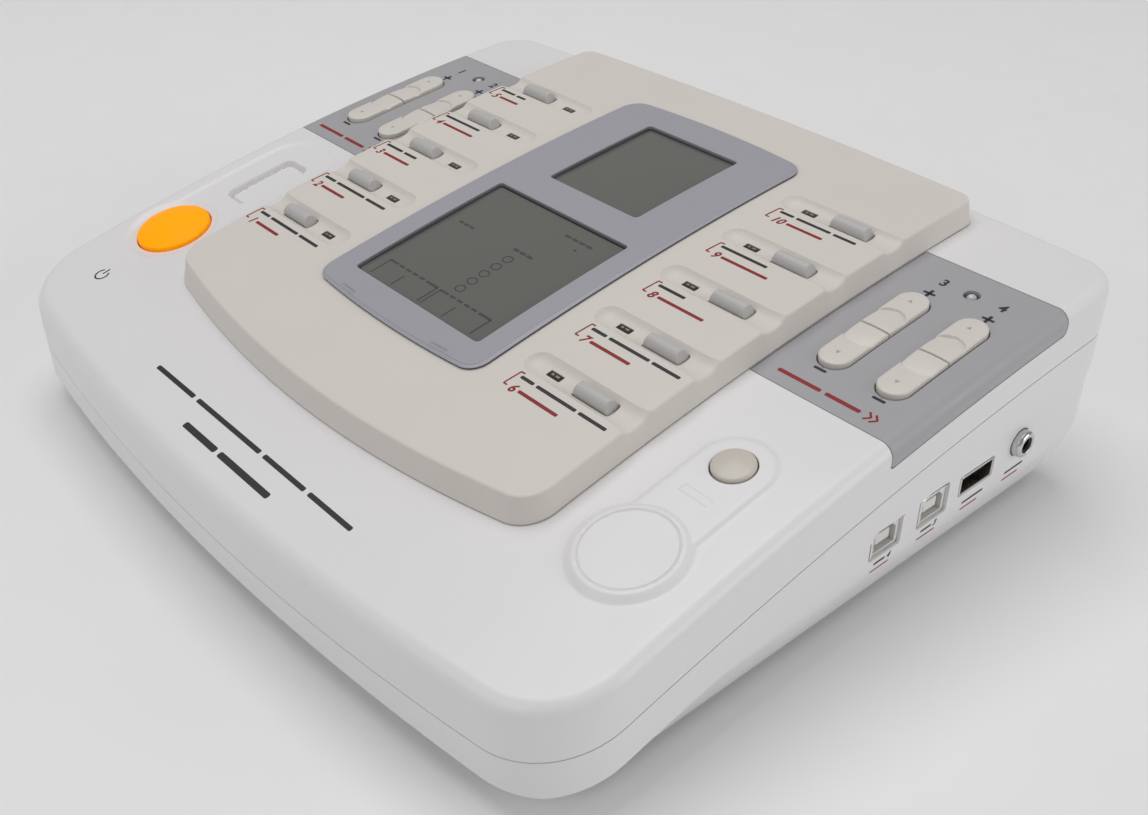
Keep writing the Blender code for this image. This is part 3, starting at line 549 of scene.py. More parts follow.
# Painted reflection: brownish flecks that stand for the glints seen in the black LED windows.
GLINT_PAINT = shader_material("painted_led_glint", (0.34, 0.28, 0.19), 0.30, 0.5, grain=(2600, 0.01))
LENS = shader_material("led_lens", (0.80, 0.81, 0.82), 0.08, coat=0.8, grain=(900, 0.002), transmission=0.3)
STEEL = shader_material("socket_metal", (0.76, 0.75, 0.74), 0.22, 1.0, grain=(1400, 0.006))
CHROME = shader_material("jack_chrome", (0.62, 0.62, 0.63), 0.14, 1.0, grain=(900, 0.003))
GOLD = shader_material("contact_gold", (0.83, 0.62, 0.28), 0.25, 1.0, grain=(1400, 0.004))
IVORY = shader_material("socket_ivory", (0.74, 0.725, 0.70), 0.40, grain=(1600, 0.008))
BLACK = shader_material("socket_black", (0.014, 0.014, 0.015), 0.40, grain=(1500, 0.010))
BOARD = shader_material("board_green", (0.02, 0.16, 0.07), 0.42, grain=(1200, 0.02))
RUBBER = shader_material("rubber", (0.030, 0.030, 0.031), 0.80, grain=(2500, 0.03))
ZINC = shader_material("screw_steel", (0.62, 0.62, 0.60), 0.30, 1.0, grain=(1400, 0.006))
INK = dict(roughness=0.55, grain=(3000, 0.004), wear=0.0, speckle=0.1)
INK_BLACK = shader_material("ink_black", (0.018, 0.018, 0.022), **INK)
INK_RED = shader_material("ink_red", (0.27, 0.010, 0.012), **INK)
INK_NAVY = shader_material("ink_navy", (0.020, 0.020, 0.055), **INK)
FLOOR = shader_material("pale_floor", (0.87, 0.87, 0.87), 0.65, grain=(60, 0.02), wear=0.0)


# --- top cover --------------------------------------------------------------------------
TRACK_R = 10.8 * MM
RING_R = 15.1 * MM
RING_TOP_R = 13.1 * MM
DISC_R = 11.8 * MM
POWER_SPOT = spot("power_button", cover_top)
START_SPOT = spot("start_button", cover_top)
TRACK_X, TRACK_END_Y = mm(107.2, -24.0)
BLANK_SPOT = mm(107.0, -58.0)
POCKET = mm(-107.3, -22.6, 12.0, 25.5)
PAD = mm(106.95, -36.5, 9.0, 2.3)
RELIEF_X, RELIEF_END_Y = mm(88, 6)
TRACK_RISE, RING_RISE, PAD_RISE = 0.8, 1.5, 0.14  # millimetres
RECESS_DEPTH, SEAT_DEPTH, POCKET_DEPTH = 0.55, 1.0, 1.3  # millimetres
# Where the mesh gets edges along the reliefs, in millimetres from their outlines or as radii.
TRACK_CREASES = (1.4, 0.2, -0.15, -0.95, -1.25)
RING_CREASES = (15.6, 15.3, 14.95, 13.3, 13.0, 12.2, 12.0, 11.8, 11.6, 11.4)
POCKET_CREASES = (0.35, 0.12, -0.12, -0.35, -0.55, -0.75, -0.95)
PAD_CREASES = (0.12, 0.0, -0.12)
ON_OFF_SPOT = mm(-107.0, -84.5)
POWER_R = 12.1 * MM
START_R = 5.65 * MM


def step(distance, softness):
    """1 inside, 0 outside, with a soft edge of that half-width; distance is negative inside."""
    t = min(max(0.5 - distance / (2 * softness), 0.0), 1.0)
    return t * t * (3 - 2 * t)


def box_distance(x, y, half_x, half_y, radius):
    dx = abs(x) - half_x + radius
    dy = abs(y) - half_y + radius
    return hypot(max(dx, 0), max(dy, 0)) + min(max(dx, dy), 0) - radius


def ramp(distance, width, softness):
    """Straight slope that starts at distance 0 and is full after width, softly blended at both ends."""
    def bend(value):
        return (value + sqrt(value * value + softness * softness)) / 2
    return (bend(-distance) - bend(-distance - width)) / width


def right_relief(x, y):
    """Height of the raised plateau: a track from the start button to a round seat with a blank disc."""
    centre_y = min(max(y, BLANK_SPOT[1]), TRACK_END_Y)
    track = hypot(x - TRACK_X, y - centre_y) - TRACK_R
    ring = hypot(x - BLANK_SPOT[0], y - BLANK_SPOT[1])
    rise = TRACK_RISE * ramp(track, 1.1 * MM, 0.22 * MM)
    rise = max(rise, RING_RISE * ramp(ring - RING_R, RING_R - RING_TOP_R, 0.25 * MM))
    rise -= 0.34 * max(0.0, 1 - (ring - DISC_R) ** 2 / (0.38 * MM) ** 2) ** 2
    rise -= 0.10 * step(ring - DISC_R, 0.2 * MM)
    pad = box_distance(x - PAD[0], y - PAD[1], PAD[2] / 2, PAD[3] / 2, 0.15 * MM)
    return (rise + PAD_RISE * step(pad, 0.12 * MM)) * MM


def left_recess(x, y):
    """Wide soft recess round the power button and the pocket behind it."""
    ring = hypot(x - POWER_SPOT[0], y - POWER_SPOT[1])
    px, py, width, length = POCKET
    wide = box_distance(x + 108.5 * MM, y + 28.5 * MM, *mm(14.2, 29.8, 12.0))
    pocket = box_distance(x - px, y - py, width / 2, length / 2, 3.0 * MM)
    depth = RECESS_DEPTH * step(wide, 1.4 * MM)
    depth = max(depth, SEAT_DEPTH * step(ring - RING_R + 0.3 * MM, 1.5 * MM))
    groove = max(0.0, 1 - (pocket + 0.6 * MM) ** 2 / (0.5 * MM) ** 2)
    return (depth + POCKET_DEPTH * step(pocket, 0.35 * MM) + 1.2 * groove) * MM


def cover_place(x, y, depth=0.0):
    dip = 0.0
    if y < RELIEF_END_Y:
        if x > RELIEF_X:
            dip = -right_relief(x, y)
        elif x < -RELIEF_X:
            dip = left_recess(x, y)
    return Vector((x, y, cover_top(y))) - normal_at(y) * (depth + dip)


def case_rings(levels, outline=CASE):
    """Rings of 3-D points from (inset, height over y)."""
    return [[(x, y, height(y)) for x, y in outline_loop(outline, inset)] for inset, height in levels]


def build_cover():
    bm = bmesh.new()
    fillet = 0.25 * MM
    console_hole = outline_loop(CONSOLE, 5.0 * MM)
    power_hole = moved(circle(POWER_R + 0.12 * MM, 96), *POWER_SPOT)
    start_hole = moved(circle(START_R + CLEAR, 72), *START_SPOT)
    holes = [console_hole, power_hole, start_hole]
    patches = [mm(-127, -78, -90, 5, 0.62), mm(91, -75, 124, -11, 0.4)]
    top = [outline_loop(CASE, EDGE_R)] + [grown(hole, fillet) for hole in holes]
    creases = []
    start_y = BLANK_SPOT[1] + 9 * MM
    for offset in mm(*TRACK_CREASES):
        half = TRACK_R + offset
        line = [(TRACK_X + half, start_y)] + arc((TRACK_X, TRACK_END_Y), half, 0, 180, 60)
        creases.append(divided(line + [(TRACK_X - half, start_y)], 0.6 * MM, False))
    for radius in mm(*RING_CREASES):
        ring = moved(circle(radius, 150), *BLANK_SPOT)
        creases.append(ring + ring[:1])
    for (x, y, width, length), corner, reaches in ((POCKET, 3.0, POCKET_CREASES), (PAD, 0.3, PAD_CREASES)):
        for reach in reaches:
            grow = 2 * reach * MM
            ring = rounded_rectangle(width + grow, length + grow, max(corner + reach, 0.1) * MM, 8)
            ring = divided(moved(ring, x, y), 0.6 * MM)
            creases.append(ring + ring[:1])
    sheet(bm, top, cover_place, 4.0 * MM, patches, creases)
    under = on_surface(cover_top)
    for hole in holes:
        rings = edge_rings(hole, -1, cover_place, fillet)
        skin(bm, rings + laid([(hole, COVER_THICK)], under))

    levels = []
    for i in range(13):
        angle = pi / 2 * i / 12
        levels.append((EDGE_R * (1 - sin(angle)), below(cover_top, EDGE_R * (1 - cos(angle)))))
    levels += [(0.0, below(seam, -CLEAR / 2 - SEAM_LIP)),
               (SEAM_LIP * 0.3, below(seam, -CLEAR / 2 - SEAM_LIP * 0.3)),
               (SEAM_LIP, below(seam, -CLEAR / 2)), (WALL, below(seam, -CLEAR / 2)),
               (WALL, below(cover_top, COVER_THICK + 4 * MM))]
    inner_loop = outline_loop(CASE, WALL + EDGE_R)
    skin(bm, case_rings(levels) + laid([(inner_loop, COVER_THICK)], under))
    sheet(bm, [inner_loop] + holes, lambda x, y: under(x, y, COVER_THICK), 8.0 * MM)

    keys = bmesh.new()
    for output in (1, 2, 3, 4):
        oval = key_oval(10)
        stack(keys, [(oval, -CUT_REACH), (oval, CUT_REACH)], seat(*oval_middle(output), cover_top))
    for side in SIDES:
        x, y = spot(side + "_channel_led", cover_top)
        turned(keys, [(LED_R, -CUT_REACH), (LED_R, CUT_REACH)], 40, seat(x, y, cover_top))
    recesses = [panel_body(side, CLEAR) for side in SIDES.values()]
    finish_piece(bm, "top_cover_shell", "case", "white_shell", SHELL, ["top_cover"],
                 cutters=recesses + [keys])


# --- output panels ----------------------------------------------------------------------
PANEL_FRONT_Y = 5.5 * MM
PANEL_REAR_Y = 78.2 * MM
PANEL_INNER_X = 84.93 * MM
LED_R = 2.35 * MM
LENS_R = 1.55 * MM
CUT_REACH = 12 * MM
PANEL_SKIRT = 6.5 * MM
FOLD_X = CASE.half_width - EDGE_R


def folded(side):
    """A place function that runs flat, over the case's rounded edge and down its side."""
    bend = EDGE_R * pi / 2

    def place(s, y, depth=0.0):
        radius = EDGE_R - depth
        if s <= FOLD_X:
            x, drop = s, depth
        elif s <= FOLD_X + bend:
            angle = (s - FOLD_X) / EDGE_R
            x, drop = FOLD_X + radius * sin(angle), EDGE_R - radius * cos(angle)
        else:
            x, drop = FOLD_X + radius, EDGE_R + s - FOLD_X - bend
        return Vector((side * x, y, cover_top(y) - drop))
    return place


def panel_outline(grow=0.0):
    """Flat outline of a panel, with the rounded rear corner of its folded skirt."""
    far = FOLD_X + EDGE_R * pi / 2 + PANEL_SKIRT - EDGE_R + grow
    front, rear, inner = PANEL_FRONT_Y - grow, PANEL_REAR_Y + grow, PANEL_INNER_X - grow
    corner = 1.8 * MM
    points = [(inner, front), (far - 0.8 * MM, front), (far, front + 0.8 * MM)]
    points += arc((far - corner, rear - corner), corner, 0, 90, 8)
    points += [(inner, rear)]
    return divided(points, 0.9 * MM)


def panel_body(side, grow):
    """The recess that a panel lies in, as a closed cutter that stands proud of the cover."""
    bm = bmesh.new()
    place = folded(side)
    outline = panel_outline(grow)
    proud = -2.0 * MM
    deep = PANEL_THICK + grow
    skin(bm, laid([(outline, proud), (outline, deep)], place))
    for depth in (proud, deep):
        sheet(bm, [outline], lambda s, y, depth=depth: place(s, y, depth), 1.6 * MM)
    return bm


def build_panel(name, side, outputs):
    bm = bmesh.new()
    holes = []
    for output in outputs:
        x, y = oval_middle(output)
        holes.append(moved(divided(key_oval(12), 1.0 * MM), abs(x), y))
    x, y = spot(name + "_channel_led", cover_top)
    holes.append(moved(circle(LED_R, 48), abs(x), y))
    plate(bm, panel_outline(), holes, folded(side), PANEL_THICK, 0.22 * MM, 1.5 * MM)
    finish_piece(bm, name + "_panel_skin", "case", "panel_grey", PANEL_PLASTIC, [name + "_output_panel"])


# --- bottom case ------------------------------------------------------------------------
def wall_steps(share):
    """The lower wall's three insets, between the floor's and the band's."""
    return tuple(low + (BAND_STEP - low) * share for low in UNDERCUT)


def build_bottom():
    levels = []
    for share in (0.0, 0.05, 0.2, 0.5, KNEE_START):
        levels.append((wall_steps(share), lambda y, share=share: wall_height(y, share)))
    for i in range(1, 7):
        levels.append((wall_steps(knee_inset(i / 6)), lambda y, share=i / 6: knee_height(y, share)))
    levels += [(BAND_STEP, below(band_edge, 0.1 * MM)), (BAND_STEP * 0.6, band_edge), (0.12 * MM, band_edge),
               (0.0, below(band_edge, -0.15 * MM)), (0.0, below(seam, CLEAR / 2 + SEAM_LIP)),
               (SEAM_LIP * 0.3, below(seam, CLEAR / 2 + SEAM_LIP * 0.3)),
               (SEAM_LIP, below(seam, CLEAR / 2)), (WALL, below(seam, CLEAR / 2)),
               (WALL + BAND_STEP, below(band_edge, 1 * MM)), (WALL + BAND_STEP, lower_wall)]
    inner = tuple(WALL + u for u in UNDERCUT)
    floor = FOOT_HEIGHT + FLOOR_THICK
    levels.append((inner, level(floor)))
    bm = bmesh.new()
    bottom_edge = 0.8 * MM
    rounded = [(tuple(u + bottom_edge for u in UNDERCUT), level(FOOT_HEIGHT)),
               (tuple(u + bottom_edge * 0.3 for u in UNDERCUT), level(FOOT_HEIGHT + 0.15 * MM))]
    levels[0] = (UNDERCUT, level(FOOT_HEIGHT + 0.55 * MM))
    levels = rounded + levels
    skin(bm, case_rings(levels))
    sheet(bm, [outline_loop(CASE, levels[0][0])], lambda x, y: (x, y, FOOT_HEIGHT), 9 * MM)
    sheet(bm, [outline_loop(CASE, inner)], lambda x, y: (x, y, floor), 9 * MM)

    cuts = bmesh.new()
    for node, (width, height, radius) in SIDE_SOCKETS.items():
        place = node_frame(node)
        tight = rounded_rectangle(width + 2 * CLEAR, height + 2 * CLEAR, radius, 4)
        flared = rounded_rectangle(width + 1.3 * MM, height + 1.3 * MM, radius + 0.35 * MM, 4)
        stack(cuts, [(tight, -8 * MM), (tight, -0.45 * MM), (flared, 0.0), (flared, 2 * MM)], place)
    turned(cuts, [mm(4.3, -8), mm(4.3, 3)], 48, node_frame("lead_jack"))
    turned(cuts, [mm(4.8, -8), mm(4.8, -0.3), mm(5.2, 0.1), mm(5.2, 3)], 48, inlet_frame())
    for node in CORNERS:
        recess = FOOT_HEIGHT + 1.2 * MM
        turned(cuts, [mm(3.9, -1), (3.6 * MM, FOOT_HEIGHT + 0.3 * MM), (3.6 * MM, recess),
                      (1.7 * MM, recess), mm(1.7, 10)], 40, upright(node + "_case_screw", 0))
    finish_piece(bm, "bottom_case_shell", "case", "white_shell", SHELL, ["bottom_case"], cutters=[cuts])


# --- sockets ----------------------------------------------------------------------------
OUTPUT_SOCKETS = [f"output_socket_{number}" for number in (1, 2, 3, 4)]
SIDE_SOCKETS = {**dict.fromkeys(OUTPUT_SOCKETS, mm(11.6, 8.6, 0.8)), "probe_socket": mm(14.4, 5.8, 0.6)}
SOCKET_X = 130.5 * MM
SHELL_BACK = -13.6 * MM


def node_frame(node):
    """The frame of a socket on the side that its node is on."""
    centre = middle(node)
    return socket_frame(1 if centre.x > 0 else -1, centre.y, centre.z)


def socket_frame(side, y, z):
    """Socket axes: local Z out of the case's side, local Y up."""
    turn = Matrix.Rotation(pi / 2, 4, "Y") @ Matrix.Rotation(pi / 2, 4, "Z")
    if side < 0:
        turn = Matrix.Rotation(pi, 4, "Z") @ turn
    return Matrix.Translation((side * SOCKET_X, y, z)) @ turn


def tube(bm, outer, inner, front, back, matrix):
    """A closed shell between two outlines, open through, with a rounded mouth."""
    lip = 0.15 * MM
    rings = [(outer, back), (outer, front - lip), (grown(outer, -lip * 0.7), front - lip * 0.2),
             (grown(inner, lip * 0.7), front), (inner, front - lip * 2), (inner, back)]
    band(bm, rings, in_frame(matrix))


def chamfered_square(width, height, chamfer):
    """Outline of a square plug opening whose two upper corners are cut off, local Y up."""
    x, y = width / 2, height / 2
    points = [(-x, -y), (x, -y), (x, y - chamfer), (x - chamfer, y), (-x + chamfer, y), (-x, y - chamfer)]
    return divided(points, 1.0 * MM)


def slab(bm, size, centre, matrix, radius=0.15 * MM):
    """A block with rounded upright edges and a softened top."""
    base = moved(rounded_rectangle(size[0], size[1], radius, 3), centre[0], centre[1])
    top = moved(rounded_rectangle(size[0] - radius, size[1] - radius, radius * 0.6, 3), centre[0], centre[1])
    z0, z1 = centre[2] - size[2] / 2, centre[2] + size[2] / 2
    stack(bm, [(base, z0), (base, z1 - radius / 2), (top, z1)], matrix)


def build_output_socket(node):
    place = node_frame(node)
    width, height, radius = SIDE_SOCKETS[node]
    shell = bmesh.new()
    outer = divided(rounded_rectangle(width, height, radius, 4), 1.0 * MM)
    tube(shell, outer, grown(outer, -0.45 * MM), 0.0, SHELL_BACK, place)
    finish_piece(shell, node + "_shell", "case", "socket_metal", STEEL, [node])

    insert = bmesh.new()
    liner = divided(rounded_rectangle(width - 1.1 * MM, height - 1.1 * MM, 0.5 * MM, 4), 0.8 * MM)
    mouth = chamfered_square(width - 3.0 * MM, height - 2.2 * MM, 1.7 * MM)
    back = -13.0 * MM
    bottom = -8.6 * MM
    front = -0.5 * MM
    point = in_frame(place)
    skin(insert, laid([(liner, back), (liner, front)], point))
    stack(insert, [(liner, back - 0.3 * MM), (liner, back)], place)
    skin(insert, laid([(mouth, front), (mouth, bottom)], point))
    for loops, z in (([liner, mouth], front), ([liner], back), ([mouth], bottom)):
        sheet(insert, loops, lambda px, py, z=z: point(px, py, z), 3 * MM)
    slab(insert, mm(5.6, 3.1, 7.4), (0, -0.1 * MM, -4.9 * MM), place, 0.3 * MM)
    finish_piece(insert, node + "_insert", "case", "socket_metal", IVORY)

    contacts = bmesh.new()
    for px in mm(-1.3, 1.3):
        for py in mm(-1.72, 1.52):
            slab(contacts, mm(1.0, 0.25, 6.0), (px, py, -5.0 * MM), place, 0.08 * MM)
    finish_piece(contacts, node + "_contacts", "case", "socket_metal", GOLD)


def build_probe_socket():
    node = "probe_socket"
    place = node_frame(node)
    width, height, radius = SIDE_SOCKETS[node]
    shell = bmesh.new()
    outer = divided(rounded_rectangle(width, height, radius, 4), 1.0 * MM)
    tube(shell, outer, grown(outer, -0.4 * MM), 0.0, SHELL_BACK, place)
    finish_piece(shell, node + "_shell", "case", "socket_metal", STEEL, [node])
    core = bmesh.new()
    liner = rounded_rectangle(width - 1.0 * MM, height - 1.0 * MM, 0.3 * MM, 3)
    stack(core, [(liner, -13.4 * MM), (liner, -9.4 * MM)], place)
    slab(core, mm(11.2, 1.7, 8.2), (0, 0.95 * MM, -5.4 * MM), place, 0.2 * MM)
    finish_piece(core, node + "_tongue", "case", "socket_black", BLACK)
    contacts = bmesh.new()
    for i in range(4):
        slab(contacts, mm(1.1, 0.2, 6.6), ((i - 1.5) * 2.4 * MM, 0.02 * MM, -5.6 * MM), place, 0.06 * MM)
    finish_piece(contacts, node + "_contacts", "case", "socket_metal", GOLD)


def build_jack():
    place = node_frame("lead_jack")
    nose = CASE.half_width + 2.0 * MM - SOCKET_X
    profile = [mm(3.0, -12.8), mm(4.0, -12.8), (4.0 * MM, nose - 1.3 * MM)]
    profile += arc((2.9 * MM, nose - 1.1 * MM), 1.1 * MM, 0, 90, 7)
    profile += arc((2.65 * MM, nose - 0.3 * MM), 0.3 * MM, 90, 180, 4)
    profile += [mm(2.35, -11.0)]
    turned_piece(profile, 64, place, "lead_jack_nut", "case", "socket_metal", CHROME, ["lead_jack"])
    rings = [mm(2.3, -10.9), (2.3 * MM, nose - 0.7 * MM), (1.8 * MM, nose - 0.7 * MM), mm(1.8, -9.0)]
    turned_piece(rings, 48, place, "lead_jack_liner", "case", "socket_black", BLACK)


def inlet_frame():
    """Inlet axes: local Z out of the rear wall."""
    x, _, z = middle("power_inlet")
    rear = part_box("power_inlet")[1].y
    return Matrix.Translation((x - MID_X, rear, z)) @ Matrix.Rotation(-pi / 2, 4, "X")


def build_inlet():
    place = inlet_frame()
    profile = [mm(4.5, -11.8), mm(4.5, -0.3), mm(4.3, 0.0), mm(3.5, 0.0), mm(3.2, -0.4), mm(3.2, -9.0)]
    turned_piece(profile, 64, place, "power_inlet_barrel", "case", "socket_black", BLACK, ["power_inlet"])
    pin = [mm(1.0, -9.2), mm(1.0, -1.5), mm(0.8, -1.1), mm(0.3, -1.0)]
    turned_piece(pin, 32, place, "power_inlet_pin", "case", "socket_metal", STEEL)


# --- console ----------------------------------------------------------------------------
MODE_KEYS = [f"{side_name}_mode_key_{row}" for side_name in SIDES for row in range(1, 6)]
KEY_SPOTS = {key: spot(key, crown) for key in MODE_KEYS}
ROWS = sorted({round(y, 4) for _, y in KEY_SPOTS.values()})
GUIDE_X = 52.9 * MM
GUIDE_DEPTH = 1.85 * MM
MODE_HALF = 6.4 * MM
MODE_R = 2.2 * MM


def mouth_width(x):
    """How much a key channel widens toward the console's wall."""
    flare = min(max((x - 78.5 * MM) / (6.0 * MM), 0.0), 1.0)
    return 1 + 0.28 * flare * flare


def scoop(x, y):
    """Depth of the key channels: round troughs with a domed inner end and a flared mouth."""
    x = abs(x)
    if x < SCOOP_START_X - SCOOP_SEARCH[0]:
        return 0.0
    nearest = min(ROWS, key=lambda row: abs(row - y))
    across = abs(y - nearest)
    if across > SCOOP_SEARCH[1]:
        return 0.0
    across /= mouth_width(x)
    reach = across if x > SCOOP_START_X else hypot(across, x - SCOOP_START_X)
    raw = SCOOP_DEPTH * (1 - (reach / SCOOP_REACH) ** 2.7)
    blend = 0.05 * MM
    return (raw + sqrt(raw * raw + blend * blend)) / 2


def console_place(x, y, depth=0.0):
    return Vector((x, y, crown(y))) - normal_at(y) * (depth + scoop(x, y))


def build_console():
    bm = bmesh.new()
    edge = 0.9 * MM
    fillet = 0.15 * MM
    holes = []
    for (x, y) in KEY_SPOTS.values():
        key_hole = rounded_rectangle(2 * MODE_HALF + 2 * CLEAR, 2 * MODE_R + 2 * CLEAR, 0.5 * MM, 4)
        holes.append(moved(divided(key_hole, 0.5 * MM), x, y))
        tip_hole = rounded_rectangle(5.1 * MM, 2.3 * MM, 0.25 * MM, 3)
        guide_x = GUIDE_X if x > 0 else -GUIDE_X
        holes.append(moved(divided(tip_hole, 0.4 * MM), guide_x, y))
    opening = outline_loop(FRAME, 3.0 * MM)
    top = [outline_loop(CONSOLE, CONSOLE_DRAFT + edge), opening] + [grown(hole, fillet) for hole in holes]
    patches = []
    reach_y = 5.6 * MM
    for y in ROWS:
        for inner_x in mm(40.5, -83.5):
            patches.append((inner_x, y - reach_y, inner_x + 43.0 * MM, y + reach_y, 0.42 * MM))
    creases = []
    for y in ROWS:
        for extra in mm(0.12, 0.03, -0.06, -0.2):
            reach = SCOOP_REACH + extra
            line = [(x, y - reach * mouth_width(x)) for x in np.arange(82.0, 47.4, -0.45) * MM]
            line += arc((SCOOP_START_X, y), reach, -90, -270, 26)
            line += [(x, y + reach * mouth_width(x)) for x in np.arange(47.6, 82.2, 0.45) * MM]
            creases += [line, [(-px, py) for px, py in line]]
    sheet(bm, top, console_place, 3.5 * MM, patches, creases)
    plain = on_surface(crown)
    for hole in holes:
        rings = edge_rings(hole, -1, console_place, fillet, 3)
        skin(bm, rings + laid([(hole, CONSOLE_THICK)], plain))
    skin(bm, laid([(opening, 0.0), (opening, CONSOLE_THICK)], plain))

    rings = []
    lean = radians(10)
    for i in range(9):
        angle = (pi / 2 - lean) * i / 8
        loop = outline_loop(CONSOLE, CONSOLE_DRAFT + edge * (1 - sin(angle)))
        rings.append([console_place(x, y, edge * (1 - cos(angle))) for x, y in loop])
    foot = CONSOLE_RISE - CLEAR
    soft = 0.2 * MM
    levels = [(0.0, below(crown, foot - soft)), (soft, below(crown, foot)), (WALL, below(crown, foot))]
    inner_loop = outline_loop(CONSOLE, WALL + 0.4 * MM)
    skin(bm, rings + case_rings(levels, CONSOLE) + laid([(inner_loop, CONSOLE_THICK)], plain))
    sheet(bm, [inner_loop, opening] + holes, lambda x, y: plain(x, y, CONSOLE_THICK), 7 * MM)
    finish_piece(bm, "console_plate", "case", "console_beige", CONSOLE_PAINT, ["centre_console"])


def mode_key_mesh():
    """A loaf along X: round back, sloping ends with soft edges, straight sides below."""
    bm = bmesh.new()
    half, radius, base = MODE_HALF, MODE_R, KEY_BASE
    ridge, soft = mm(1.6, 0.4)

    def section(shrink):
        points = [(-radius + shrink, base), (-radius + shrink, -2.0 * MM)]
        for i in range(17):
            angle = pi - pi * i / 16
            points.append(((radius - shrink) * cos(angle), ridge - radius + (radius - shrink) * sin(angle)))
        points += [(radius - shrink, -2.0 * MM), (radius - shrink, base)]
        return points

    def station(sign, back, shrink):
        ring = []
        for y, z in section(shrink):
            slope = 0.32 * max(z + 1.0 * MM, 0.0)
            ring.append((sign * (half - slope - back), y, z))
        return ring

    rings = []
    for sign, shares in ((-1, (0, 0.25, 0.5, 0.75, 1)), (1, (1, 0.75, 0.5, 0.25, 0))):
        for angle in (pi / 2 * share for share in shares):
            rings.append(station(sign, soft * (1 - cos(angle)), soft * (1 - sin(angle))))
    levels = skin(bm, rings)
    bm.faces.new(levels[0])
    bm.faces.new(levels[-1])
    return bm


def build_mode_keys():
    for node, (x, y) in KEY_SPOTS.items():
        finish_piece(mode_key_mesh(), node + "_cap", node, "mode_key", MODE_PLASTIC, [node],
                     matrix=seat(x, y, crown))


def build_light_guides():
    for side, sign in SIDES.items():
        bm = bmesh.new()
        glints = bmesh.new()
        for y in ROWS:
            place = seat(sign * GUIDE_X, y, crown, GUIDE_DEPTH)
            slab(bm, mm(4.9, 2.1, 2.6), (0, 0, -1.3 * MM), place, 0.2 * MM)
            # Two small flat flecks on each window paint its glint.
            for px, wide in ((-1.1, 1.0), (0.7, 1.4)):
                slab(glints, mm(wide, 0.7, 0.10), mm(px, 0.2, 0.02), place, 0.05 * MM)
        finish_piece(bm, side + "_light_windows", "case", "smoked_plastic", SMOKED, [side + "_light_guide"])
        finish_piece(glints, side + "_light_glints", "case", "led_lens", GLINT_PAINT)


# --- displays ---------------------------------------------------------------------------
WINDOWS = {"main_lcd": mm(57.4, 54.9, -11.9), "small_lcd": mm(38.8, 43.1, 48.7)}
LCD_RECESS = 0.5 * MM
FRAME_GAP = 0.6 * MM
FRAME_EDGE = ((1.1, 0.0), (1.0, 0.16), (0.3, 0.3), (0.12, 0.36), (0.0, 0.46))  # inset, drop in millimetres
SLOT_X = 21.2 * MM
DRAWING_SHIFT = mm(3.6, -5.0, 0)


def window_loop(window, less=0.0):
    width, length, y = window
    return moved(divided(rounded_rectangle(width - less, length - less, 1.3 * MM, 7), 2.0 * MM), 0, y)


def frame_place(x, y, depth=0.0):
    """The display frame's face, with two shallow slots near its front edge."""
    dip = 0.0
    if y < -40 * MM:
        edge_y = FRAME.front_y + FRAME.front_bow * x * x
        slot = box_distance(abs(x) - SLOT_X, y - edge_y - 2.0 * MM, *mm(3.2, 0.55, 0.3))
        dip = 0.45 * MM * step(slot, 0.22 * MM)
    return Vector((x, y, crown(y))) - normal_at(y) * (depth + dip - FRAME_RISE)


def build_frame():
    bm = bmesh.new()
    outer = outline_loop(FRAME)
    windows = [window_loop(window) for window in WINDOWS.values()]
    soft = 0.25 * MM
    chamfer = 1.1 * MM
    top = [grown(outer, -chamfer)] + [grown(window, soft) for window in windows]
    patches = [(x - 5 * MM, -50 * MM, x + 5 * MM, -44 * MM, 0.25 * MM) for x in (-SLOT_X, SLOT_X)]
    sheet(bm, top, frame_place, 3.0 * MM, patches)
    plain = on_surface(crown)
    deep = 4.0 * MM
    for window in windows:
        rings = edge_rings(window, -1, frame_place, soft, 4)
        skin(bm, rings + laid([(window, deep)], plain))
    rings = laid([(grown(outer, -inset * MM), drop * MM) for inset, drop in FRAME_EDGE], frame_place)
    stem = outline_loop(FRAME, 3.3 * MM)
    skin(bm, rings + laid([(outer, -FRAME_GAP), (stem, -FRAME_GAP), (stem, deep)], plain))
    sheet(bm, [stem] + windows, lambda x, y: plain(x, y, deep), 6 * MM)
    finish_piece(bm, "display_frame_plate", "case", "frame_grey", FRAME_PLASTIC, ["display_frame"])


def build_shade_liners():
    """Painted shade: dark strips that line the two windows between the frame's face and the displays, and a
    dark ring in the gap under the frame's edge.
    """
    bm = bmesh.new()
    plain = on_surface(crown)
    top, bottom = 0.55 * MM - FRAME_RISE, 4.55 * MM
    for window in WINDOWS.values():
        outer = window_loop(window, 0.04 * MM)
        inner = grown(outer, -0.35 * MM)
        band(bm, [(outer, bottom), (outer, top), (inner, top + 0.25 * MM), (inner, bottom)], plain)
    # The dark ring under the frame's outer edge paints the shadow in the gap below it.
    gap_shade = outline_loop(FRAME, 0.12 * MM)
    stem = outline_loop(FRAME, 2.0 * MM)
    low = -0.02 * MM
    band(bm, [(stem, -FRAME_GAP), (gap_shade, -FRAME_GAP), (gap_shade, low), (stem, low)], plain)
    finish_piece(bm, "display_shade_liner", "case", "frame_grey", SHADE_LINER)


def bar(bm, x0, y0, x1, y1, width, matrix, high=0.03 * MM):
    """A flat printed or etched stroke between two points."""
    along = Vector((x1 - x0, y1 - y0))
    turn = Matrix.Rotation(np.arctan2(along.y, along.x), 4, "Z")
    place = matrix @ Matrix.Translation(((x0 + x1) / 2, (y0 + y1) / 2, 0)) @ turn
    outline = rounded_rectangle(along.length + width * 0.4, width, width * 0.3, 2)
    stack(bm, [(outline, -high), (outline, high)], place)


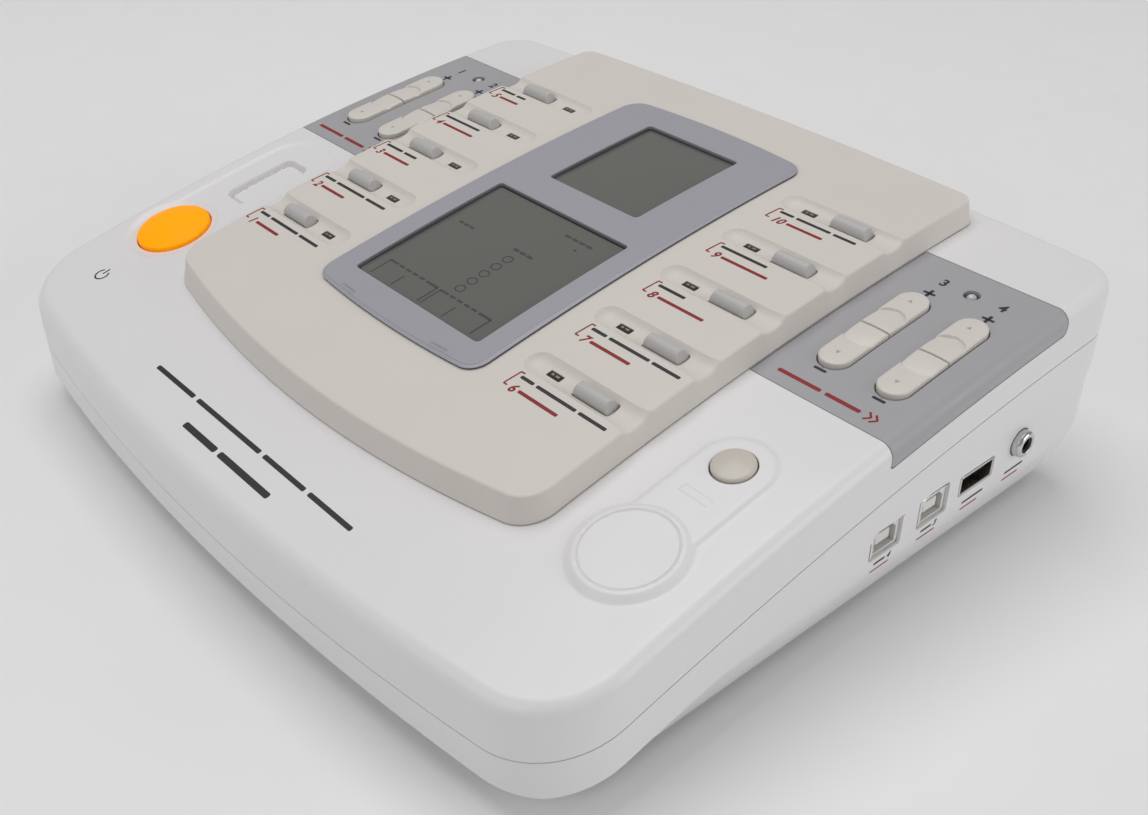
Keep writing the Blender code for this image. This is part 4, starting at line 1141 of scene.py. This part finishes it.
def build_lcds():
    """The displays keep their CAD shapes; the main one carries faint segments."""
    bm = bmesh.new()
    face = seat(0, WINDOWS["main_lcd"][2], crown, LCD_RECESS)
    place = face @ Matrix.Translation(DRAWING_SHIFT)

    def draw(x0, y0, x1, y1, width):
        bar(bm, x0 * MM, y0 * MM, x1 * MM, y1 * MM, width * MM, place)

    for x in (-16.0, 8.0):
        draw(x - 11.5, -13.6, x - 8.0, -13.6, 0.75)
        draw(x + 6.0, -13.6, x + 11.0, -13.6, 0.95)
        draw(x + 11.0, -13.6, x + 11.0, -21.0, 0.6)
        draw(x - 11.5, -13.6, x - 11.5, -21.0, 0.5)
        draw(x - 1.5, -16.2, x - 1.5, -21.2, 0.5)
        for k in range(4):
            draw(x - 7.0 + 3.2 * k, -13.6, x - 5.0 + 3.2 * k, -13.6, 0.85)
    for k in range(5):
        centre = -9.6 + 4.4 * k
        ring = [(0.4 + 1.7 * cos(pi * i / 4), centre + 1.5 * sin(pi * i / 4)) for i in range(9)]
        for start, end in zip(ring, ring[1:]):
            draw(*start, *end, 0.4)
    for k in range(3):
        draw(-2.2 + 2.9 * k, 12.6, -0.2 + 2.9 * k, 12.6, 1.1)
        draw(-27.0 + 2.4 * k, 12.0, -25.4 + 2.4 * k, 12.0, 0.9)
    for k in range(4):
        draw(4.8 + 3.0 * k, 26.6, 6.9 + 3.0 * k, 26.6, 1.0)
    draw(12.4, 23.0, 13.2, 23.0, 0.8)
    finish_piece(bm, "main_lcd_segments", "case", "lcd_glass", SEGMENT)


# --- strength keys ----------------------------------------------------------------------
KEY_TOP = 1.5 * MM
DISH_Y, DISH_R, DISH_DEPTH = mm(3.6, 5.7, 0.76)


def strength_key_mesh():
    """One half of an oval rocker, with a thumb dish near the split."""
    bm = bmesh.new()
    half, radius = (OVAL_LENGTH - KEY_SPLIT) / 4, OVAL_WIDTH / 2
    far = half - radius
    base = [(-radius, -half), (radius, -half)]
    outline = divided(base + arc((0, far), radius, 0, 180, 28), 0.7 * MM)

    def place(x, y, depth=0.0):
        along = y + half
        dish = step(hypot(x, along - DISH_Y) - DISH_R, 0.14 * MM)
        fall = min(max((along - 0.6 * MM) / (7.5 * MM), 0.0), 1.0)
        crownish = 0.26 * MM * (x / radius) ** 2 + 0.2 * MM * max(0.0, (y - far) / radius) ** 2
        return Vector((x, y, KEY_TOP - depth - crownish - DISH_DEPTH * dish * fall * fall))

    patches = [(-4.4 * MM, -half + 0.2 * MM, 4.4 * MM, 0.5 * MM, 0.28 * MM)]
    plate(bm, outline, [], place, 0, 0.5 * MM, 0.8 * MM, patches,
          underside=lambda x, y: Vector((x, y, KEY_BASE)))
    return bm


def build_strength_keys():
    for output in (1, 2, 3, 4):
        for action, turn in (("plus", 0.0), ("minus", pi)):
            node = f"out{output}_{action}_key"
            place = oval_seat(output, action) @ Matrix.Rotation(turn, 4, "Z")
            finish_piece(strength_key_mesh(), node + "_cap", node, "strength_key", STRENGTH_PLASTIC, [node],
                         matrix=place)
            # A thin darker triangle on each key paints the shade of its small recessed pit.
            arrow_shade = bmesh.new()
            outline = [mm(-0.75, 4.3), mm(0.75, 4.3), (0, 5.5 * MM)]
            stack(arrow_shade, [(outline, 1.45 * MM), (outline, 1.53 * MM)], place)
            finish_piece(arrow_shade, node + "_arrow_pit_shade", node, "strength_key", ARROW_PIT_SHADE)


def oval_seat(output, action):
    """Both keys of a pair share the tilt at the middle of their oval."""
    offset = (OVAL_LENGTH + KEY_SPLIT) / 4 * (1 if action == "plus" else -1)
    return seat(*oval_middle(output), cover_top) @ Matrix.Translation((0, offset, 0))


# --- round buttons ----------------------------------------------------------------------
def domed(profile, tip, top, power, steps):
    """A profile carried on from its last point over a dome to its tip."""
    radius, z = profile[-1]
    shares = [i / steps for i in range(1, steps + 1)]
    return profile + [(radius * (1 - t) + tip * t, z + (top - z) * (1 - (1 - t) ** power)) for t in shares]


def build_round_buttons():
    profile = [(POWER_R, KEY_BASE), (POWER_R, -0.5 * MM)]
    profile += arc((POWER_R - 0.7 * MM, -0.5 * MM), 0.7 * MM, 12, 62, 5)
    turned_piece(domed(profile, *mm(0.2, 2.5), 2.1, 16), 96, seat(*POWER_SPOT, cover_top),
                 "power_button_dome", "power_button", "power_orange", ORANGE, ["power_button"])
    profile = [(START_R, KEY_BASE), (START_R, 0.9 * MM)]
    profile += arc((START_R - 0.8 * MM, 0.9 * MM), 0.8 * MM, 10, 72, 6)
    turned_piece(domed(profile, *mm(0.1, 2.25), 2, 10), 80, seat(*START_SPOT, cover_top),
                 "start_button_dome", "start_button", "start_beige", START_PLASTIC, ["start_button"])


def build_channel_leds():
    for side in SIDES:
        place = seat(*spot(side + "_channel_led", cover_top), cover_top)
        profile = [(LENS_R, -4.4 * MM), (LENS_R, -1.3 * MM)] + arc((0, -1.5 * MM), LENS_R, 8, 84, 8)
        turned_piece(profile, 40, place, side + "_channel_lens", "case", "led_lens", LENS,
                     [side + "_channel_led"])
        # A dark tube down the LED hole paints the shade inside the hole round the lens.
        hole_shade = bmesh.new()
        tube(hole_shade, circle(LED_R - 0.05 * MM, 48), circle(1.6 * MM, 48), -1.0 * MM, -4.2 * MM, place)
        finish_piece(hole_shade, side + "_channel_hole_shade", "case", "led_lens", SHADE_LINER)


# --- printed marks ----------------------------------------------------------------------
def ink(bm, surface, x, y, strokes):
    """Strokes (x0, y0, x1, y1, width) in millimetres round a point, laid on a surface."""
    for x0, y0, x1, y1, width in strokes:
        mid_y = y + (y0 + y1) / 2 * MM
        place = seat(x + (x0 + x1) / 2 * MM, mid_y, surface)
        half = ((x1 - x0) / 2 * MM, (y1 - y0) / 2 * MM)
        bar(bm, -half[0], -half[1], half[0], half[1], width * MM, place)


def digits(bm, text, place, size, lean=0.25):
    """Numerals laid on a surface, from their lower left corner."""
    curve = bpy.data.curves.new("numeral", "FONT")
    curve.body = text
    curve.size = size
    curve.shear = lean
    curve.extrude = 0.03 * MM
    curve.offset = size * 0.03
    curve.resolution_u = 4
    holder = bpy.data.objects.new("numeral", curve)
    mesh = holder.to_mesh()
    start = len(bm.verts)
    bm.from_mesh(mesh)
    bm.verts.ensure_lookup_table()
    for vert in bm.verts[start:]:
        vert.co = place @ vert.co
    holder.to_mesh_clear()
    bpy.data.objects.remove(holder)
    bpy.data.curves.remove(curve)


# Beside each key from the front row: lengths of the black rule's words, length of the red rule.
LABELS = {
    "right": (((4.6, 14.5, 9.5), 14.5), ((5.2, 14.5, 9.5), 14.5), ((9.5,), 16.5), ((16.5,), 16.5),
              ((4.6, 12.0, 7.5), 12.5)),
    "left": (((4.6, 14.5, 9.5), 12.0), ((5.2, 14.5, 9.5), 12.0), ((8.0, 6.0), 13.0), ((17.5,), 15.0),
             ((6.5, 4.0), 9.0)),
}


def build_console_print():
    black, red = bmesh.new(), bmesh.new()
    for side, rows in LABELS.items():
        for row, (y, (words, rule)) in enumerate(zip(ROWS, rows)):
            x = 47.3 if side == "right" else -80.5
            ink(red, crown, x * MM - 1.0 * MM, y, [(0, -5.4, 1.4, -5.4, 0.5), (0, -5.4, -0.5, -11.0, 0.5),
                                                   (-0.5, -11.0, 0.8, -11.0, 0.5)])
            at = 0.6
            for word in words:
                ink(black, crown, x * MM, y, [(at, -6.7, at + word, -6.7, 1.1)])
                at += word + 1.5
            number = str(row + (6 if side == "right" else 1))
            wide = 5.6 if number == "10" else 3.4
            digits(red, number, seat((x + 0.9) * MM, y - 12.2 * MM, crown), 4.2 * MM)
            ink(red, crown, x * MM, y, [(wide + 0.9, -10.8, wide + 0.9 + rule, -10.8, 1.1)])
    finish_piece(black, "console_print_black", "case", "socket_black", INK_BLACK)
    finish_piece(red, "console_print_red", "case", "socket_black", INK_RED)


def build_panel_print():
    navy, red = bmesh.new(), bmesh.new()
    for numbers, left_x in (("12", -124.0), ("34", 90.5)):
        xs = sorted(spot(f"out{number}_plus_key", cover_top)[0] for number in numbers)
        for x, number in zip(xs, numbers):
            ink(navy, cover_top, x, 61.5 * MM, [(-1.7, 0, 1.7, 0, 0.95), (0, -1.7, 0, 1.7, 0.95)])
            ink(navy, cover_top, x, 16.7 * MM, [(-1.8, 0, 1.8, 0, 0.95)])
            digits(navy, number, seat(x - 1.2 * MM, 66.8 * MM, cover_top), 4.6 * MM, 0.0)
        ink(red, cover_top, left_x * MM, 10.2 * MM, [(0.0, 0.0, 13.5, 0.0, 1.3), (15.5, 0.0, 26.0, 0.0, 1.3)])
        for k in range(2):
            chevron = 28.2 + 1.9 * k
            ink(red, cover_top, left_x * MM, 10.2 * MM, [(chevron, 1.5, chevron + 1.4, 0, 0.6),
                                                         (chevron + 1.4, 0, chevron, -1.5, 0.6)])
    finish_piece(navy, "panel_print_navy", "case", "socket_black", INK_NAVY)
    finish_piece(red, "panel_print_red", "case", "socket_black", INK_RED)


# The title's two rows: y, stroke width and where each word starts and ends, in millimetres.
TITLE_ROWS = (
    (-95.2, 1.5, ((-49.5, -29.0), (-26.5, 6.0), (8.5, 27.5), (30.0, 48.5))),
    (-102.4, 2.0, ((-21.0, -5.0), (-2.5, 21.5))),
)


def build_cover_print():
    """Plain rules in place of the title, and an on/off mark in front of the power button."""
    black = bmesh.new()
    for y, width, words in TITLE_ROWS:
        for x0, x1 in words:
            ink(black, cover_top, 0, 0, [(x0, y, x1, y, width)])
    ring = [(2.2 * cos(radians(angle)), 2.2 * sin(radians(angle))) for angle in range(130, 411, 20)]
    strokes = [(*start, *end, 0.55) for start, end in zip(ring, ring[1:])] + [(0, 0.4, 0, 2.9, 0.55)]
    ink(black, cover_top, *ON_OFF_SPOT, strokes)
    finish_piece(black, "cover_print_black", "case", "socket_black", INK_BLACK)


def wall_inset(y, z):
    """How far the lower wall stands in from the case's half width at a height."""
    share = (z - FOOT_HEIGHT) / (lower_wall(y) - FOOT_HEIGHT)
    if z > wall_height(y, KNEE_START):
        low, high = 0.0, 1.0
        for _ in range(30):
            middle_share = (low + high) / 2
            if knee_height(y, middle_share) < z:
                low = middle_share
            else:
                high = middle_share
        share = knee_inset(middle_share)
    return wall_steps(share)[0]


def wall_seat(y, z):
    """A frame on the right lower wall: Z along its normal, Y up."""
    near = 0.2 * MM
    lean = atan((wall_inset(y, z - near) - wall_inset(y, z + near)) / (2 * near))
    x = CASE.half_width - wall_inset(y, z)
    return Matrix.Translation((x - SOCKET_X, 0, 0)) @ socket_frame(1, y, z) @ Matrix.Rotation(lean, 4, "X")


def build_side_print():
    """Channel numbers and plain rules below the side sockets."""
    black, red = bmesh.new(), bmesh.new()
    drop, next_drop = 6.6 * MM, 9.4 * MM
    for node, first, last in (("output_socket_4", -3.6, 0.6), ("output_socket_3", -3.6, 0.6),
                              ("probe_socket", -4.6, 4.6), ("lead_jack", -4.2, 4.2)):
        y, z = middle(node).y, middle("probe_socket").z
        place = wall_seat(y, z - drop)
        bar(black, first * MM, 0, last * MM, 0, 0.8 * MM, place)
        bar(red, -4.0 * MM, 0, 3.2 * MM, 0, 0.8 * MM, wall_seat(y, z - next_drop))
        if node.startswith("output"):
            digits(black, node[-1], place @ Matrix.Translation(mm(1.6, -0.9, 0)), 2.6 * MM)
    finish_piece(black, "side_print_black", "case", "socket_black", INK_BLACK)
    finish_piece(red, "side_print_red", "case", "socket_black", INK_RED)


# --- underside --------------------------------------------------------------------------
def build_feet_and_screws():
    for corner in CORNERS:
        profile = [mm(5.2, 0.35), mm(5.6, 0.0), mm(7.4, 0.0)]
        profile += arc(mm(7.4, 0.6), 0.6 * MM, -75, 0, 4) + [mm(8.0, 2.7)]
        turned_piece(profile, 64, upright(corner + "_foot", 0), corner + "_foot_pad", "case", "rubber",
                     RUBBER, [corner + "_foot"])
        place = upright(corner + "_case_screw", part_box(corner + "_case_screw")[0].z)
        profile = [mm(1.2, 0.0), mm(2.2, 0.12), mm(2.85, 0.5), mm(3.1, 1.0),
                   mm(3.1, 1.6), mm(1.4, 1.6), mm(1.4, 12.3)]
        arm = rounded_rectangle(*mm(3.0, 0.7, 0.2), 2)
        cross = [bmesh.new(), bmesh.new()]
        for quarter, cutter in enumerate(cross):
            turn = Matrix.Rotation(quarter * pi / 2, 4, "Z")
            stack(cutter, [(arm, -1 * MM), (arm, 0.9 * MM)], place @ turn)
        turned_piece(profile, 40, place, corner + "_screw", "case", "screw_steel", ZINC,
                     [corner + "_case_screw"], cutters=cross)


def dress_cad_nodes():
    """The displays and the pieces inside keep their CAD shapes."""
    boards = {node: BOARD for node in ("main_board", "display_board", "left_key_board", "right_key_board")}
    for node, material in {**boards, "power_switch": BLACK, "buzzer": BLACK,
                           **dict.fromkeys(WINDOWS, GLASS)}.items():
        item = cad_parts[node]
        item.data.materials.clear()
        item.data.materials.append(material)


# --- stage ------------------------------------------------------------------------------
def build_stage():
    bm = bmesh.new()
    loop = divided(rounded_rectangle(6.0, 6.0, 0.5, 6), 0.5)
    sheet(bm, [loop], lambda x, y: (x, y, 0.0), 0.5)
    floor = finish_mesh(bm, "floor")
    floor.data.materials.append(FLOOR)

    camera_data = bpy.data.cameras.new("camera")
    camera_data.sensor_width = 36.0
    camera_data.lens = 42.77
    camera = bpy.data.objects.new("camera", camera_data)
    camera.location = (0.2756, -0.2250, 0.2485)
    view = Vector((-0.6193, 0.5486, -0.5617))
    camera.rotation_euler = view.to_track_quat("-Z", "Y").to_euler()
    bpy.context.scene.collection.objects.link(camera)
    bpy.context.scene.camera = camera

    def area(name, place, size, energy):
        light = bpy.data.lights.new(name, "AREA")
        light.shape = "RECTANGLE"
        light.size, light.size_y = size
        light.energy = energy
        item = bpy.data.objects.new(name, light)
        item.location = place
        aim = Vector((0, 0, 0.04)) - Vector(place)
        item.rotation_euler = aim.to_track_quat("-Z", "Y").to_euler()
        bpy.context.scene.collection.objects.link(item)

    area("overhead", (-0.35, 0.0, 1.65), (1.5, 1.2), 13.2)
    area("right_fill", (1.45, 0.7, 0.55), (1.2, 1.0), 7.2)
    area("front_fill", (-0.2, -1.6, 0.9), (1.4, 0.9), 3.9)

    world = bpy.data.worlds.new("studio")
    bpy.context.scene.world = world
    world.use_nodes = True
    world.node_tree.nodes["Background"].inputs["Color"].default_value = (0.955, 0.935, 0.945, 1.0)
    world.node_tree.nodes["Background"].inputs["Strength"].default_value = 0.335
    bpy.context.scene.view_settings.view_transform = "Standard"


build_stage()
build_cover()
build_panel("left", -1, (1, 2))
build_panel("right", 1, (3, 4))
build_bottom()
for socket in OUTPUT_SOCKETS:
    build_output_socket(socket)
build_probe_socket()
build_jack()
build_inlet()
build_console()
build_mode_keys()
build_light_guides()
build_frame()
build_shade_liners()
build_lcds()
build_strength_keys()
build_round_buttons()
build_channel_leds()
build_console_print()
build_panel_print()
build_cover_print()
build_side_print()
build_feet_and_screws()
dress_cad_nodes()
